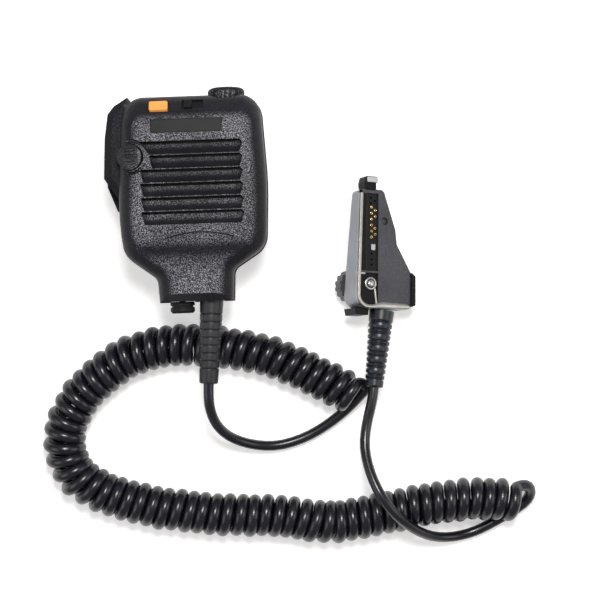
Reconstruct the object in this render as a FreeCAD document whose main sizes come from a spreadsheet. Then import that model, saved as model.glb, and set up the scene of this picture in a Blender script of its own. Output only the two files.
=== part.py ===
import FreeCAD, Part
import math
import os
import Sketcher
from FreeCAD import Placement, Rotation
from FreeCAD import Vector as V

# Hand microphone for a two-way radio: a hollow case with a louvred grille, its controls, a spring belt
# clip on the back, a coiled cord and the multi-contact accessory connector that screws to the radio.
# Design frame: x across the case, y towards its top end, z out of the grille. The finished nodes are
# moved by frame_x and frame_y, so that the origin lies under the middle of the microphone.

doc = FreeCAD.newDocument("hand_microphone")
sheet = doc.addObject("Spreadsheet::Sheet", "dims")

SIZES = [
    # case outline
    ("case_half", 29.0, "from the middle to the side with the push-to-talk bar"),
    ("top_inset", 2.4, "how much nearer that side is at the top end"),
    ("low_inset", 1.1, "how much nearer it is at its lower corner"),
    ("wide_y", -5.0, "height of its widest place"),
    ("plain_half", 28.4, "from the middle to the plain side"),
    ("plain_top", 1.8, "how much nearer the plain side is at the top end"),
    ("plain_low", 1.2, "how much nearer it is at its lower corner"),
    ("plain_wide_y", 6.0, "height of its widest place"),
    ("low_y", -20.7, "height of the lower corner under the bar"),
    ("low_raise", 1.8, "how much higher the other lower corner is"),
    ("shoulder_y", -29.9, "height where the neck starts"),
    ("shoulder_raise", 2.8, "how much higher it starts on the plain side"),
    ("neck_x", -0.6, "middle of the neck"),
    ("neck_shoulder", 14.9, "half width where the neck starts"),
    ("neck_half", 14.35, "half width of the neck at its end"),
    ("case_end", 40.3, "top end, from the middle"),
    ("neck_end", 39.1, "neck end, from the middle"),
    ("top_corner", 8.8, "radius of the top corners"),
    ("side_bow", 120.0, "radius of the bowed sides"),
    ("low_corner", 9.0, "radius of the lower corners"),
    ("neck_cove", 4.5, "radius of the hollow curve into the neck"),
    # case section
    ("back_z", 13.5, "height of the back of the case"),
    ("parting", 26.0, "height of the joint between the two case halves"),
    ("neck_z", 38.0, "height of the front of the neck"),
    ("chin_z", 43.0, "front height below the grille"),
    ("chin_y", -16.0, "where the front starts to fall to the neck"),
    ("neck_y", -23.5, "where the fall ends"),
    ("bevel_long", 3.0, "length of the bevel at the neck end"),
    ("bevel_drop", 4.6, "fall of that bevel"),
    ("front_z", 44.6, "height of the front at the grille"),
    ("brow_z", 43.4, "front height where the top slope starts"),
    ("brow_y", 31.5, "where the top slope starts"),
    ("slope_drop", 5.9, "fall of the top slope down to the top end"),
    ("rim_round", 8.0, "rounding of the front rim"),
    ("back_round", 5.5, "rounding of the back rim"),
    ("wall", 2.2, "side wall of the case"),
    ("front_wall", 3.8, "front wall, which the louvres are cut in"),
    ("back_wall", 2.4, "back wall"),
    ("lip", 0.4, "bead round the joint of the rear half"),
    ("lip_tall", 2.2, "height of that bead"),
    ("bead_gap", 0.4, "room in the bead round the cord boot and the socket cap"),
    # grille
    ("louvre_count", 6, "number of louvres"),
    ("louvre_pitch", 5.36, "distance from louvre to louvre"),
    ("louvre_top", 22.1, "upper edge of the first louvre"),
    ("louvre_tall", 5.0, "height of one louvre"),
    ("louvre_deep", 2.5, "depth at its upper edge"),
    ("louvre_bulge", 0.7, "how far its face bulges over the straight slope"),
    ("louvre_half", 19.6, "half length of the full louvres"),
    ("louvre_short", 3.6, "what the louvres beside the round button lose"),
    ("louvre_skew", 1.2, "slant of the louvre ends"),
    ("louvre_nip", 1.1, "cut corner at the upper end of each louvre"),
    ("slit_tall", 0.9, "height of the slit along the upper edge"),
    ("slit_end", 0.8, "distance from louvre end to slit end"),
    ("slit_deep", 0.6, "depth of the slit below the louvre"),
    ("slit_rim", 1.0, "how far the sound holes stay inside the speaker's edge"),
    # push-to-talk bar
    ("ptt_proud", 5.7, "how far the bar stands out of the widest side of the case"),
    ("ptt_top", 40.6, "upper tip of the bar"),
    ("ptt_low", -0.5, "lower end of the bar"),
    ("ptt_tip", 4.4, "how far the tip lies inside the widest side of the case"),
    ("ptt_hook", 2.2, "fall from the tip to the straight inner side"),
    ("brow_in", 4.7, "first outer corner below the tip, from the outermost side"),
    ("brow_down", 3.3, "how far that corner lies below the tip"),
    ("cheek_in", 2.2, "second outer corner, from the outermost side"),
    ("cheek_down", 6.4, "how far it lies below the tip"),
    ("flank_in", 0.8, "third outer corner, from the outermost side"),
    ("flank_down", 15.7, "how far it lies below the tip"),
    ("ptt_heel", 9.9, "where the outermost side ends, above the lower end"),
    ("ptt_toe", 1.2, "where the slanted end meets the case, above the lower end"),
    ("ptt_chamfer", 2.8, "slanted strip along the front of the bar"),
    ("skirt_down", 2.3, "how far the skirt at the back reaches below the bar"),
    ("skirt_wide", 1.5, "width of the skirt at its end"),
    ("skirt_heel", 7.4, "where the skirt's slanted end starts, above the lower end"),
    ("skirt_tall", 4.8, "height of the skirt"),
    ("ptt_back", 18.0, "back side of the bar"),
    ("ptt_front", 36.0, "front side of the bar"),
    ("ptt_gap", 0.5, "clearance round the bar in its bay"),
    ("bay_deep", 5.0, "depth of the bay below the widest side of the case"),
    ("bay_wall", 1.8, "wall behind the bay"),
    ("ptt_sunk", 3.1, "how far the bar's inner side lies below the widest side"),
    ("pivot_y", 1.4, "height of the bar's pivot pin"),
    ("pivot_sunk", 1.7, "how far the pivot pin lies below the widest side"),
    ("pivot_pin", 0.8, "radius of the pivot pin"),
    ("pin_bite", 2.0, "length of the pin in the case at each end"),
    ("run_fit", 0.06, "radial running fit"),
    ("nub_y", 20.0, "height of the nub that works the switch"),
    ("nub_round", 2.0, "radius of that nub"),
    ("nub_hole", 2.7, "radius of the hole for the nub"),
    ("nub_long", 3.2, "length of the nub"),
    # buttons
    ("orange_x", -12.0, "middle of the orange button"),
    ("orange_y", 35.5, "height of the orange button"),
    ("orange_wide", 7.2, "width of the orange button"),
    ("orange_long", 4.3, "length of the orange button along the slope"),
    ("orange_tall", 4.0, "height of the orange button from its foot"),
    ("orange_proud", 1.2, "how far it stands out of the slope"),
    ("orange_turn", 0.7, "travel of the orange button"),
    ("slide_x", 1.0, "middle of the slide switch"),
    ("slide_y", 36.2, "height of the slide switch"),
    ("slot_wide", 8.2, "width of the slide switch recess"),
    ("slot_long", 4.6, "length of the recess along the slope"),
    ("slot_deep", 1.4, "depth of the recess"),
    ("thumb_wide", 3.0, "width of the slide switch knob"),
    ("thumb_long", 3.2, "length of the knob along the slope"),
    ("thumb_tall", 1.7, "height of the knob"),
    ("thumb_rib", 0.35, "width of the grooves in the knob"),
    ("slide_travel", 3.6, "travel of the slide switch"),
    ("fn_x", -23.2, "middle of the round button"),
    ("fn_y", 16.4, "height of the round button"),
    ("fn_z", 43.0, "level of the case at the round button"),
    ("fn_tilt", 18.0, "lean of the round button in degrees"),
    ("fn_round", 4.9, "radius of the round button"),
    ("fn_ring", 6.3, "radius of the ring groove round it"),
    ("fn_deep", 4.4, "depth of its bore"),
    ("fn_proud", 0.9, "how far it stands out"),
    ("fn_dome", 0.8, "rise of its domed face"),
    ("fn_travel", 0.6, "travel of the round button"),
    ("fn_bar", 4.6, "length of the two raised bars"),
    ("fn_bar_wide", 0.8, "width of those bars"),
    ("fn_bar_apart", 2.3, "distance between their middles"),
    ("fn_bar_rise", 0.45, "how far they stand out of the dome"),
    ("button_gap", 0.25, "clearance round a button"),
    ("pad_tall", 0.9, "height of the rubber pads under the buttons"),
    # label place, microphone hole
    ("label_x", -1.5, "middle of the label plate"),
    ("label_y", 27.9, "height of the label plate"),
    ("label_half", 13.6, "half length of the plate"),
    ("label_tall", 5.2, "height of the plate"),
    ("label_deep", 0.7, "depth of its recess"),
    ("mic_y", -13.3, "height of the microphone hole"),
    ("mic_hole", 0.8, "radius of the microphone hole"),
    ("arch_x", 2.2, "middle of the arched groove on the chin"),
    ("arch_y", -12.6, "top of the arched groove"),
    ("arch_round", 41.0, "radius of the arch"),
    ("arch_half", 13.0, "half length of the arch"),
    ("arch_wide", 0.55, "width of the groove"),
    ("arch_deep", 0.5, "depth of the groove"),
    # volume knob
    ("knob_x", 13.4, "middle of the volume knob"),
    ("knob_round", 7.2, "radius of the volume knob"),
    ("knob_tall", 5.4, "height of the volume knob"),
    ("knob_sunk", 2.0, "depth of its recess in the top end"),
    ("knob_gap", 0.7, "clearance round the knob"),
    ("knob_notch", 11.8, "radius of the notch that opens the recess to the front"),
    ("knob_flute", 0.45, "radius of the grooves in its side"),
    ("flute_count", 24, "number of those grooves"),
    ("shaft_round", 3.0, "radius of the volume shaft"),
    ("top_boss", 4.4, "thickness of the top wall at the knob"),
    # speaker and electronics
    ("speaker_y", 10.0, "height of the speaker"),
    ("speaker_round", 16.0, "radius of the speaker"),
    ("speaker_top", 38.9, "front of the speaker flange"),
    ("surround_rise", 0.3, "rise of the cone's surround over the flange"),
    ("screen_thick", 0.35, "thickness of the dust screen on the speaker"),
    ("speaker_flange", 1.2, "thickness of the speaker flange"),
    ("speaker_deep", 6.2, "depth of the basket"),
    ("magnet_round", 9.0, "radius of the magnet"),
    ("magnet_tall", 4.0, "height of the magnet"),
    ("seat_wall", 1.4, "wall of the ribs that hold speaker and capsule"),
    ("capsule_round", 4.0, "radius of the microphone capsule"),
    ("capsule_tall", 5.0, "height of the capsule"),
    ("capsule_top", 36.9, "front of the capsule"),
    ("sleeve_wall", 1.2, "wall of the capsule's rubber sleeve"),
    ("board_z", 20.6, "underside of the circuit board"),
    ("board_thick", 1.6, "thickness of the circuit board"),
    ("board_half", 20.5, "half width of the circuit board"),
    ("board_top", 35.5, "upper edge of the circuit board"),
    ("board_low", -19.0, "lower edge of the circuit board"),
    ("post_x", 20.3, "case posts, from the middle"),
    ("post_high", 30.5, "height of the upper posts"),
    ("post_low", -16.5, "height of the lower posts"),
    ("post_round", 2.8, "radius of the case posts"),
    ("screw_round", 1.3, "radius of the case screws"),
    ("screw_head", 2.4, "radius of their heads"),
    ("head_sunk", 2.6, "depth that the heads are sunk"),
    # neck end
    ("cord_x", 4.9, "where the cord leaves the neck"),
    ("boot_lean", 4.1, "lean of the cord boot in degrees"),
    ("boot_base", 4.9, "radius of the boot at the neck"),
    ("boot_tip", 3.8, "radius of the boot at its tip"),
    ("boot_long", 32.0, "length of the boot outside the neck"),
    ("boot_rings", 8, "number of grooves in the boot"),
    ("ring_pitch", 3.0, "distance from groove to groove"),
    ("ring_wide", 0.7, "width of a groove"),
    ("ring_deep", 0.7, "depth of a groove"),
    ("boot_flange", 5.4, "half height of the boot's flange inside the neck"),
    ("flange_out", 3.8, "from the cord to the outer side of the flange"),
    ("flange_thick", 1.6, "thickness of that flange"),
    ("jack_x", -6.5, "middle of the earphone socket"),
    ("jack_round", 3.2, "radius of the earphone socket"),
    ("jack_bore", 1.28, "radius of the socket's bore"),
    ("jack_long", 12.0, "length of the socket"),
    ("cap_round", 4.8, "radius of the socket's screw cap"),
    ("cap_long", 4.6, "length of the screw cap"),
    # belt clip
    ("clip_y", 3.0, "height of the clip's swivel"),
    ("clip_foot", 9.5, "radius of the swivel foot on the case"),
    ("clip_foot_tall", 1.1, "height of the swivel foot"),
    ("clip_gap", 0.2, "play of the swivel"),
    ("clip_thick", 1.8, "thickness of the clip plates"),
    ("clip_half", 12.0, "half width of the upper plate"),
    ("clip_up", 17.0, "length of the clip above its swivel"),
    ("clip_down", 27.0, "length of the clip below its swivel"),
    ("clip_corner", 5.0, "corner radius of the clip plates"),
    ("ear_thick", 1.5, "thickness of the clip's ears"),
    ("ear_round", 3.4, "radius of the ears"),
    ("hinge_y", 6.0, "clip hinge, above the swivel"),
    ("hinge_z", 5.2, "height of the clip hinge"),
    ("hinge_pin", 1.2, "radius of the clip's hinge pin"),
    ("ear_gap", 0.35, "side play between the ears"),
    ("jaw_gap", 0.3, "gap between jaw and upper plate"),
    ("spring_wire", 0.5, "radius of the spring wire"),
    ("spring_coil", 2.3, "mean radius of the spring"),
    ("spring_turns", 6, "turns of the spring"),
    ("mount_round", 2.2, "radius of the swivel screw"),
    ("mount_head", 4.6, "radius of its head"),
    ("mount_head_tall", 1.5, "height of its head"),
    # cord
    ("cord_round", 2.05, "radius of the cord"),
    ("coil_round", 8.75, "outer radius of the coiled stretch"),
    # connector
    ("plug_x", 70.7, "connector screw, from the origin"),
    ("plug_y", -34.5, "connector screw, from the origin"),
    ("plug_yaw", -4.6, "turn of the connector on the table in degrees"),
    ("plug_tilt", 24.0, "sideways lean of the connector in degrees"),
    ("plug_pitch", 5.0, "nose-down lean of the connector in degrees"),
    ("plug_long", 37.7, "from the screw to the top of the connector"),
    ("plug_foot", 9.7, "from the screw to its lower end"),
    ("plug_left", 5.9, "from the screw to its left side"),
    ("plug_right", 18.0, "from the screw to its right side"),
    ("plug_nose", 5.9, "right end of its narrow top"),
    ("plug_nose_left", 4.7, "left end of its narrow top"),
    ("plug_deep", 13.5, "depth of the connector at its lower end"),
    ("plug_slim", 8.6, "depth at its top"),
    ("face_thick", 1.6, "thickness of the face plate"),
    ("plug_boot_x", 8.2, "middle of the connector's cord boot, from the screw"),
    ("plug_boot_deep", 6.2, "middle of that boot, below the face"),
    ("plug_boot_lean", 6.2, "lean of the boot in degrees"),
    ("plug_boot_base", 4.6, "radius of the boot at the connector"),
    ("plug_boot_tip", 3.6, "radius of the boot at its tip"),
    ("plug_boot_long", 30.8, "length of the boot"),
    ("plug_boot_rings", 10, "number of grooves in that boot"),
    ("plug_ring_pitch", 2.6, "distance from groove to groove"),
    ("plug_ring_wide", 0.8, "width of a groove"),
    ("plug_ring_deep", 0.9, "depth of a groove"),
    ("collar_tall", 1.2, "height of the collar at the foot of the boot"),
    ("lead_straight", 5.5, "how far the cord leaves a boot straight on"),
    ("thumb_round", 7.0, "radius of the thumb screw's knob"),
    ("thumb_knob_tall", 4.6, "height of that knob"),
    ("thumb_shank", 1.9, "radius of the thumb screw"),
    ("thumb_tip_round", 1.5, "radius of its tip"),
    ("thumb_tip_long", 2.4, "length of its tip in front of the face"),
    ("ring_round", 2.6, "radius of the metal bush round the screw"),
    ("pin_count", 6, "gold contacts in the left row"),
    ("pin_round", 0.55, "radius of a contact"),
    ("pin_pitch", 2.4, "distance from contact to contact"),
    ("pin_top", 30.6, "first contact of the left row, above the screw"),
    ("row_left", 0.6, "left row of contacts, from the screw"),
    ("row_right", 2.2, "right row of contacts, from the screw"),
]
for row, (name, size, note) in enumerate(SIZES, 1):
    sheet.set("A%d" % row, name)
    sheet.set("B%d" % row, str(size))
    sheet.set("C%d" % row, note)
    sheet.setAlias("B%d" % row, name)
doc.recompute()


class Dims:
    pass


d = Dims()
for name, size, note in SIZES:
    setattr(d, name, float(sheet.get(name)))

bay_x = d.case_half - d.bay_deep
ptt_reach = d.case_half + d.ptt_proud
pivot_x = d.case_half - d.pivot_sunk

# the origin lies under the middle of the box of the microphone
frame_x = (ptt_reach - d.plain_half - d.lip) / 2
top_reach = d.case_end - d.knob_sunk + d.knob_tall
frame_y = (d.neck_end + d.cap_long - top_reach) / 2
FRAME = Placement(V(frame_x, frame_y, 0), Rotation())
FAR = 200.0


# ---------------------------------------------------------------- sketches and features


def plane(body, role):
    return next(f for f in body.Origin.OriginFeatures if f.Role == role)


def new_body(label, place=None):
    body = doc.addObject("PartDesign::Body", label)
    body.Label = label
    body.Placement = place if place is not None else FRAME
    return body


def pick(formula):
    """value of a sheet formula"""
    return float(sheet.evalExpression(formula))


def sketch(body, role, corners=(), circles=(), lift="0"):
    """closed outline of straight sides and whole circles, every place bound to the sheet"""
    sk = body.newObject("Sketcher::SketchObject", body.Label + "_sketch")
    sk.AttachmentSupport = [(plane(body, role), "")]
    sk.MapMode = "FlatFace"
    sk.setExpression("AttachmentOffset.Base.z", lift)
    spots = [V(pick(x), pick(y), 0) for x, y in corners]
    lines = [sk.addGeometry(Part.LineSegment(p, q)) for p, q in zip(spots, spots[1:] + spots[:1])]
    for line, after in zip(lines, lines[1:] + lines[:1]):
        sk.addConstraint(Sketcher.Constraint("Coincident", line, 2, after, 1))
    for line, (x, y), spot in zip(lines, corners, spots):
        bind(sk, Sketcher.Constraint("DistanceX", -1, 1, line, 1, spot.x), x)
        bind(sk, Sketcher.Constraint("DistanceY", -1, 1, line, 1, spot.y), y)
    for x, y, radius in circles:
        spot = V(pick(x), pick(y), 0)
        ring = sk.addGeometry(Part.Circle(spot, V(0, 0, 1), pick(radius)))
        bind(sk, Sketcher.Constraint("DistanceX", -1, 1, ring, 3, spot.x), x)
        bind(sk, Sketcher.Constraint("DistanceY", -1, 1, ring, 3, spot.y), y)
        bind(sk, Sketcher.Constraint("Radius", ring, pick(radius)), radius)
    return sk


def bind(sk, constraint, formula):
    index = sk.addConstraint(constraint)
    sk.setExpression("Constraints[%d]" % index, formula)


def pad(body, profile, length, reverse=False, middle=False):
    feature = body.newObject("PartDesign::Pad", body.Label + "_pad")
    feature.Profile = profile
    feature.setExpression("Length", length)
    feature.Reversed = reverse
    feature.Midplane = middle
    return feature


def pocket(body, profile, depth, reverse=False, middle=False):
    feature = body.newObject("PartDesign::Pocket", body.Label + "_pocket")
    feature.Profile = profile
    feature.setExpression("Length", depth)
    feature.Reversed = reverse
    feature.Midplane = middle
    return feature


def revolve(body, profile):
    feature = body.newObject("PartDesign::Revolution", body.Label + "_turn")
    feature.Profile = profile
    feature.ReferenceAxis = (profile, ["V_Axis"])
    feature.Angle = 360
    return feature


def edges_where(shape, test):
    return ["Edge%d" % (i + 1) for i, e in enumerate(shape.Edges) if test(e)]


def soften(body, radius, test, kind="Fillet"):
    """fillet or chamfer on the edges of the body's last feature that pass the test"""
    doc.recompute()
    base = body.Tip
    feature = body.newObject("PartDesign::" + kind, body.Label + "_" + kind.lower())
    feature.Base = (base, edges_where(base.Shape, test))
    feature.setExpression("Radius" if kind == "Fillet" else "Size", radius)
    return feature


def upright(e):
    return e.BoundBox.ZLength > 0.3 and e.BoundBox.XLength < 1e-4 and e.BoundBox.YLength < 1e-4


def box_corners(x0, x1, y0, y1):
    return [(x0, y0), (x1, y0), (x1, y1), (x0, y1)]


def solid_feature(label, shape, place=None):
    feature = doc.addObject("Part::Feature", label)
    feature.Label = label
    feature.Shape = shape
    feature.Placement = place if place is not None else FRAME
    return feature


# ---------------------------------------------------------------- wires with rounded corners


def corner_cut(before, at, after, radius):
    """start, middle and end of the arc that rounds a corner"""
    a = (before - at).normalize()
    b = (after - at).normalize()
    angle = a.getAngle(b)
    reach = radius / math.tan(angle / 2)
    inward = (a + b).normalize()
    centre = at + inward * (radius / math.sin(angle / 2))
    return at + a * reach, centre - inward * radius, at + b * reach


def rounded_wire(corners, to_space):
    """closed wire through corners (a, b, radius): straight sides joined by tangent arcs"""
    spots = [V(a, b, 0) for a, b, radius in corners]
    count = len(spots)
    cuts = []
    for i, (a, b, radius) in enumerate(corners):
        if radius > 0:
            cuts.append(corner_cut(spots[i - 1], spots[i], spots[(i + 1) % count], radius))
        else:
            cuts.append((spots[i], None, spots[i]))
    edges = []
    for i, (start, middle, end) in enumerate(cuts):
        if middle is not None:
            edges.append(Part.Arc(to_space(start), to_space(middle), to_space(end)).toShape())
        following = cuts[(i + 1) % count][0]
        if (following - end).Length > 1e-6:
            edges.append(Part.LineSegment(to_space(end), to_space(following)).toShape())
    return Part.Wire(edges)


def route_wire(points):
    """open wire along a cord: runs joined by arcs as large as the runs allow"""
    spots = [V(*p) for p in points]
    edges = []
    radii = []
    at = spots[0]
    for before, here, after in zip(spots, spots[1:], spots[2:]):
        a, b = before - here, after - here
        half_turn = (math.pi - a.getAngle(b)) / 2
        radius = 0.45 * min(a.Length, b.Length) / math.tan(half_turn)
        start, middle, end = corner_cut(before, here, after, radius)
        edges.append(Part.LineSegment(at, start).toShape())
        edges.append(Part.Arc(start, middle, end).toShape())
        radii.append(round(radius, 1))
        at = end
    edges.append(Part.LineSegment(at, spots[-1]).toShape())
    return Part.Wire(edges), radii


def route_tube(label, points, radius):
    wire, radii = route_wire(points)
    heading = V(*points[1]) - V(*points[0])
    ring = Part.Wire(Part.Circle(V(*points[0]), heading, radius).toShape())
    tube = wire.makePipeShell([ring], True, False)
    ratio = tube.Volume / (math.pi * radius ** 2 * wire.Length)
    print("%s length %.1f, volume ratio %.4f, radii %s" % (label, wire.Length, ratio, radii))
    return solid_feature(label, tube, Placement())


# ---------------------------------------------------------------- case


def case_outline(z, inset=0.0):
    corners = [
        (d.plain_half - d.plain_top, d.case_end, d.top_corner),
        (d.plain_half, d.plain_wide_y, d.side_bow),
        (d.plain_half - d.plain_low, d.low_y + d.low_raise, d.low_corner),
        (d.neck_x + d.neck_shoulder, d.shoulder_y + d.shoulder_raise, d.neck_cove),
        (d.neck_x + d.neck_half, -d.neck_end, 0),
        (d.neck_x - d.neck_half, -d.neck_end, 0),
        (d.neck_x - d.neck_shoulder, d.shoulder_y, d.neck_cove),
        (d.low_inset - d.case_half, d.low_y, d.low_corner),
        (-d.case_half, d.wide_y, d.side_bow),
        (d.top_inset - d.case_half, d.case_end, d.top_corner),
    ]
    wire = rounded_wire(corners, lambda p: V(p.x, p.y, z))
    return wire.makeOffset2D(inset) if inset else wire


def front_level(y):
    """height of the case front on its straight-line profile"""
    line = [(-FAR, d.neck_z - 0.5), (d.neck_y, d.neck_z), (d.chin_y, d.chin_z), (0, d.front_z),
            (d.brow_y, d.brow_z), (d.case_end, d.brow_z - d.slope_drop)]
    for (y0, z0), (y1, z1) in zip(line, line[1:]):
        if y0 <= y <= y1:
            return z0 + (z1 - z0) * (y - y0) / (y1 - y0)
    return line[-1][1]


def above_front(drop):
    """the space in front of the case, as a solid to cut with"""
    fall = d.slope_drop / (d.case_end - d.brow_y)
    run = FAR / 2
    line = [
        (-run, d.neck_z - 0.5, 0),
        (d.neck_y, d.neck_z, 14),
        (d.chin_y, d.chin_z, 12),
        (0, d.front_z, 120),
        (d.brow_y, d.brow_z, 12),
        (run, d.brow_z - fall * (run - d.brow_y), 0),
        (run, FAR, 0),
        (-run, FAR, 0),
    ]
    wire = rounded_wire([(y, z - drop, r) for y, z, r in line], lambda p: V(-run, p.x, p.y))
    return Part.Face(wire).extrude(V(FAR, 0, 0))


def rim_edges(shape, side):
    """edges between an upright wall and a face that looks up (side 1) or down (side -1)"""
    found = []
    for edge in shape.Edges:
        walls = caps = 0
        for face in shape.ancestorsOfType(edge, Part.Face):
            u0, u1, v0, v1 = face.ParameterRange
            lean = face.normalAt((u0 + u1) / 2, (v0 + v1) / 2).z * side
            walls += abs(lean) < 0.05
            caps += lean > 0.2
        at_neck_end = edge.BoundBox.YMax < -d.neck_end + d.wall + 0.1
        if walls == 1 and caps == 1 and not at_neck_end:
            found.append(edge)
    return found


def front_block(inset, drop, rounding):
    block = Part.Face(case_outline(d.parting, inset)).extrude(V(0, 0, FAR / 4))
    block = block.cut(above_front(drop))
    return block.makeFillet(rounding, rim_edges(block, 1))


def rear_block(inset, floor, rounding):
    block = Part.Face(case_outline(floor, inset)).extrude(V(0, 0, d.parting - floor))
    return block.makeFillet(rounding, rim_edges(block, -1))


def slab(x0, x1, y0, y1, z0, z1):
    return Part.makeBox(x1 - x0, y1 - y0, z1 - z0, V(x0, y0, z0))


def rod(radius, start, end):
    """cylinder from one point to another"""
    return Part.makeCylinder(radius, (end - start).Length, start, end - start)


slope_angle = math.degrees(math.atan2(d.slope_drop, d.case_end - d.brow_y))


def slope_place(x, y):
    """frame that stands on the top slope at (x, y)"""
    return Placement(V(x, y, front_level(y)), Rotation(V(1, 0, 0), -slope_angle))


fn_place = Placement(V(d.fn_x, d.fn_y, d.fn_z), Rotation(V(0, 1, 0), -d.fn_tilt))
orange_place = slope_place(d.orange_x, d.orange_y)
slide_place = slope_place(d.slide_x, d.slide_y)
speaker_mid = V(0, d.speaker_y, 0)
capsule_mid = V(0, d.mic_y, 0)
posts = [(x, y) for y in (d.post_low, d.post_high) for x in (-d.post_x, d.post_x)]


def placed(shape, place):
    shape = shape.copy()
    shape.Placement = place
    return shape


def bay(grow):
    """bay in the left side that the push-to-talk bar lies in, or the block of wall round it"""
    floor = bay_x - grow
    low = d.ptt_low - d.ptt_gap - grow
    back = d.ptt_back - d.ptt_gap - grow
    front = d.ptt_front + d.ptt_gap + grow
    return slab(-FAR / 4, -floor, low, FAR / 4, back, front)


def cup(place, size_x, size_y, depth, wall):
    """block of wall material under a button on the case front"""
    block = slab(-size_x - wall, size_x + wall, -size_y - wall, size_y + wall, -depth - wall, 3)
    return placed(block, place)


def front_surface(y):
    """height of the finished front surface on the middle line"""
    probe = Part.makeLine(V(0, y, d.parting), V(0, y, FAR))
    return probe.common(outer_front).BoundBox.ZMax


def louvre(index):
    """bulged scoop, deepest at its upper edge, with a slit there that is open over the speaker"""
    top = d.louvre_top - index * d.louvre_pitch
    low = top - d.louvre_tall
    floor = front_surface(top) - d.louvre_deep
    level = front_surface(low)
    left = -d.louvre_half + (d.louvre_short if index == 1 else 0)
    right = d.louvre_half
    slope = V(0, low - top, level - floor)
    bulge = V(0, top, floor) + slope / 2 + slope.cross(V(-1, 0, 0)).normalize() * d.louvre_bulge
    across = V(left, 0, 0)
    corners = [V(left, low, level), V(left, low, FAR), V(left, top, FAR), V(left, top, floor)]
    face = Part.Arc(corners[3], across + bulge, corners[0]).toShape()
    scoop = Part.Face(Part.Wire([*Part.makePolygon(corners).Edges, face])).extrude(V(right - left, 0, 0))
    left_skew = d.louvre_short if index == 0 else d.louvre_skew
    plan = [V(left, top, 0), V(right - d.louvre_nip, top, 0), V(right, top - d.louvre_nip, 0),
            V(right - d.louvre_skew, low, 0), V(left + left_skew, low, 0)]
    ends = Part.Face(Part.makePolygon(plan + plan[:1])).extrude(V(0, 0, FAR))
    slit = slab(left + d.slit_end, right - d.louvre_nip - d.slit_end, top - d.slit_tall, top,
                floor - d.slit_deep, level)
    pieces = [slit]
    off = top - d.slit_tall / 2 - d.speaker_y
    open_half = math.sqrt(max(0, (d.speaker_round - d.slit_rim) ** 2 - off ** 2))
    if open_half > d.slit_rim:
        pieces.append(slab(-open_half, open_half, top - d.slit_tall, top, d.parting, level))
    return scoop.common(ends).fuse(pieces)


def arch_groove():
    """shallow groove across the chin, along an arch through the microphone hole"""
    middle = V(d.arch_x, d.arch_y - d.arch_round, 0)
    ring = rod(d.arch_round, middle, middle + V(0, 0, FAR))
    ring = ring.cut(rod(d.arch_round - d.arch_wide, middle, middle + V(0, 0, FAR)))
    part = slab(d.arch_x - d.arch_half, d.arch_x + d.arch_half, d.neck_y, 0, d.parting, FAR)
    return ring.common(part).common(above_front(d.arch_deep))


def neck_bevel():
    """wedge that takes off the front edge of the neck end"""
    start = d.bevel_long - d.neck_end
    wedge = [V(-FAR, start, d.neck_z), V(-FAR, start - d.bevel_long * 2, d.neck_z - d.bevel_drop * 2),
             V(-FAR, start - d.bevel_long * 2, FAR), V(-FAR, start, FAR)]
    return Part.Face(Part.makePolygon(wedge + wedge[:1])).extrude(V(FAR * 2, 0, 0))


def seat_rib(middle, radius, z_low):
    ring = rod(radius + d.seat_wall, middle + V(0, 0, z_low), middle + V(0, 0, d.front_z))
    return ring.cut(rod(radius, middle, middle + V(0, 0, FAR / 2)))


knob_mid = V(d.knob_x, 0, d.parting)
END = V(0, d.case_end, 0)


def end_tools():
    """holes through the top end and the neck end, which both case halves share"""
    knob_floor = d.case_end - d.knob_sunk
    recess = rod(d.knob_round + d.knob_gap, knob_mid + V(0, knob_floor, 0), knob_mid + END * 2)
    shaft = rod(d.shaft_round + d.knob_gap, knob_mid + V(0, d.case_end - 9, 0), knob_mid + END * 2)
    notch_mid = V(d.knob_x, knob_floor + d.knob_notch, d.parting)
    tools = [recess, shaft, rod(d.knob_notch, notch_mid, notch_mid + V(0, 0, FAR))]
    for x, bore, outside in ((d.cord_x, d.boot_base, d.boot_base), (d.jack_x, d.jack_round, d.cap_round)):
        face = V(x, -d.neck_end, d.parting)
        tools.append(rod(bore, face, face + V(0, d.wall + 1, 0)))
        tools.append(rod(outside + d.bead_gap, face - V(0, 3, 0), face))
    return tools


outer_front = front_block(0, 0, d.rim_round)
inner_front = front_block(-d.wall, d.front_wall, d.rim_round - d.wall)
outer_rear = rear_block(0, d.back_z, d.back_round)
inner_rear = rear_block(-d.wall, d.back_z + d.back_wall, d.back_round - d.wall)
bay_block = bay(d.bay_wall)
knob_boss = rod(d.knob_round + d.knob_gap + 1.2, knob_mid + V(0, d.case_end - d.top_boss, 0),
                knob_mid + END)
pin_low = d.ptt_back - d.ptt_gap - d.pin_bite
pin_high = d.ptt_front + d.ptt_gap + d.pin_bite
pivot = V(-pivot_x, d.pivot_y, 0)
pivot_tool = rod(d.pivot_pin, pivot + V(0, 0, pin_low), pivot + V(0, 0, pin_high))
nub_tool = rod(d.nub_hole, V(-FAR / 4, d.nub_y, d.parting), V(-bay_x + 3, d.nub_y, d.parting))

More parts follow.
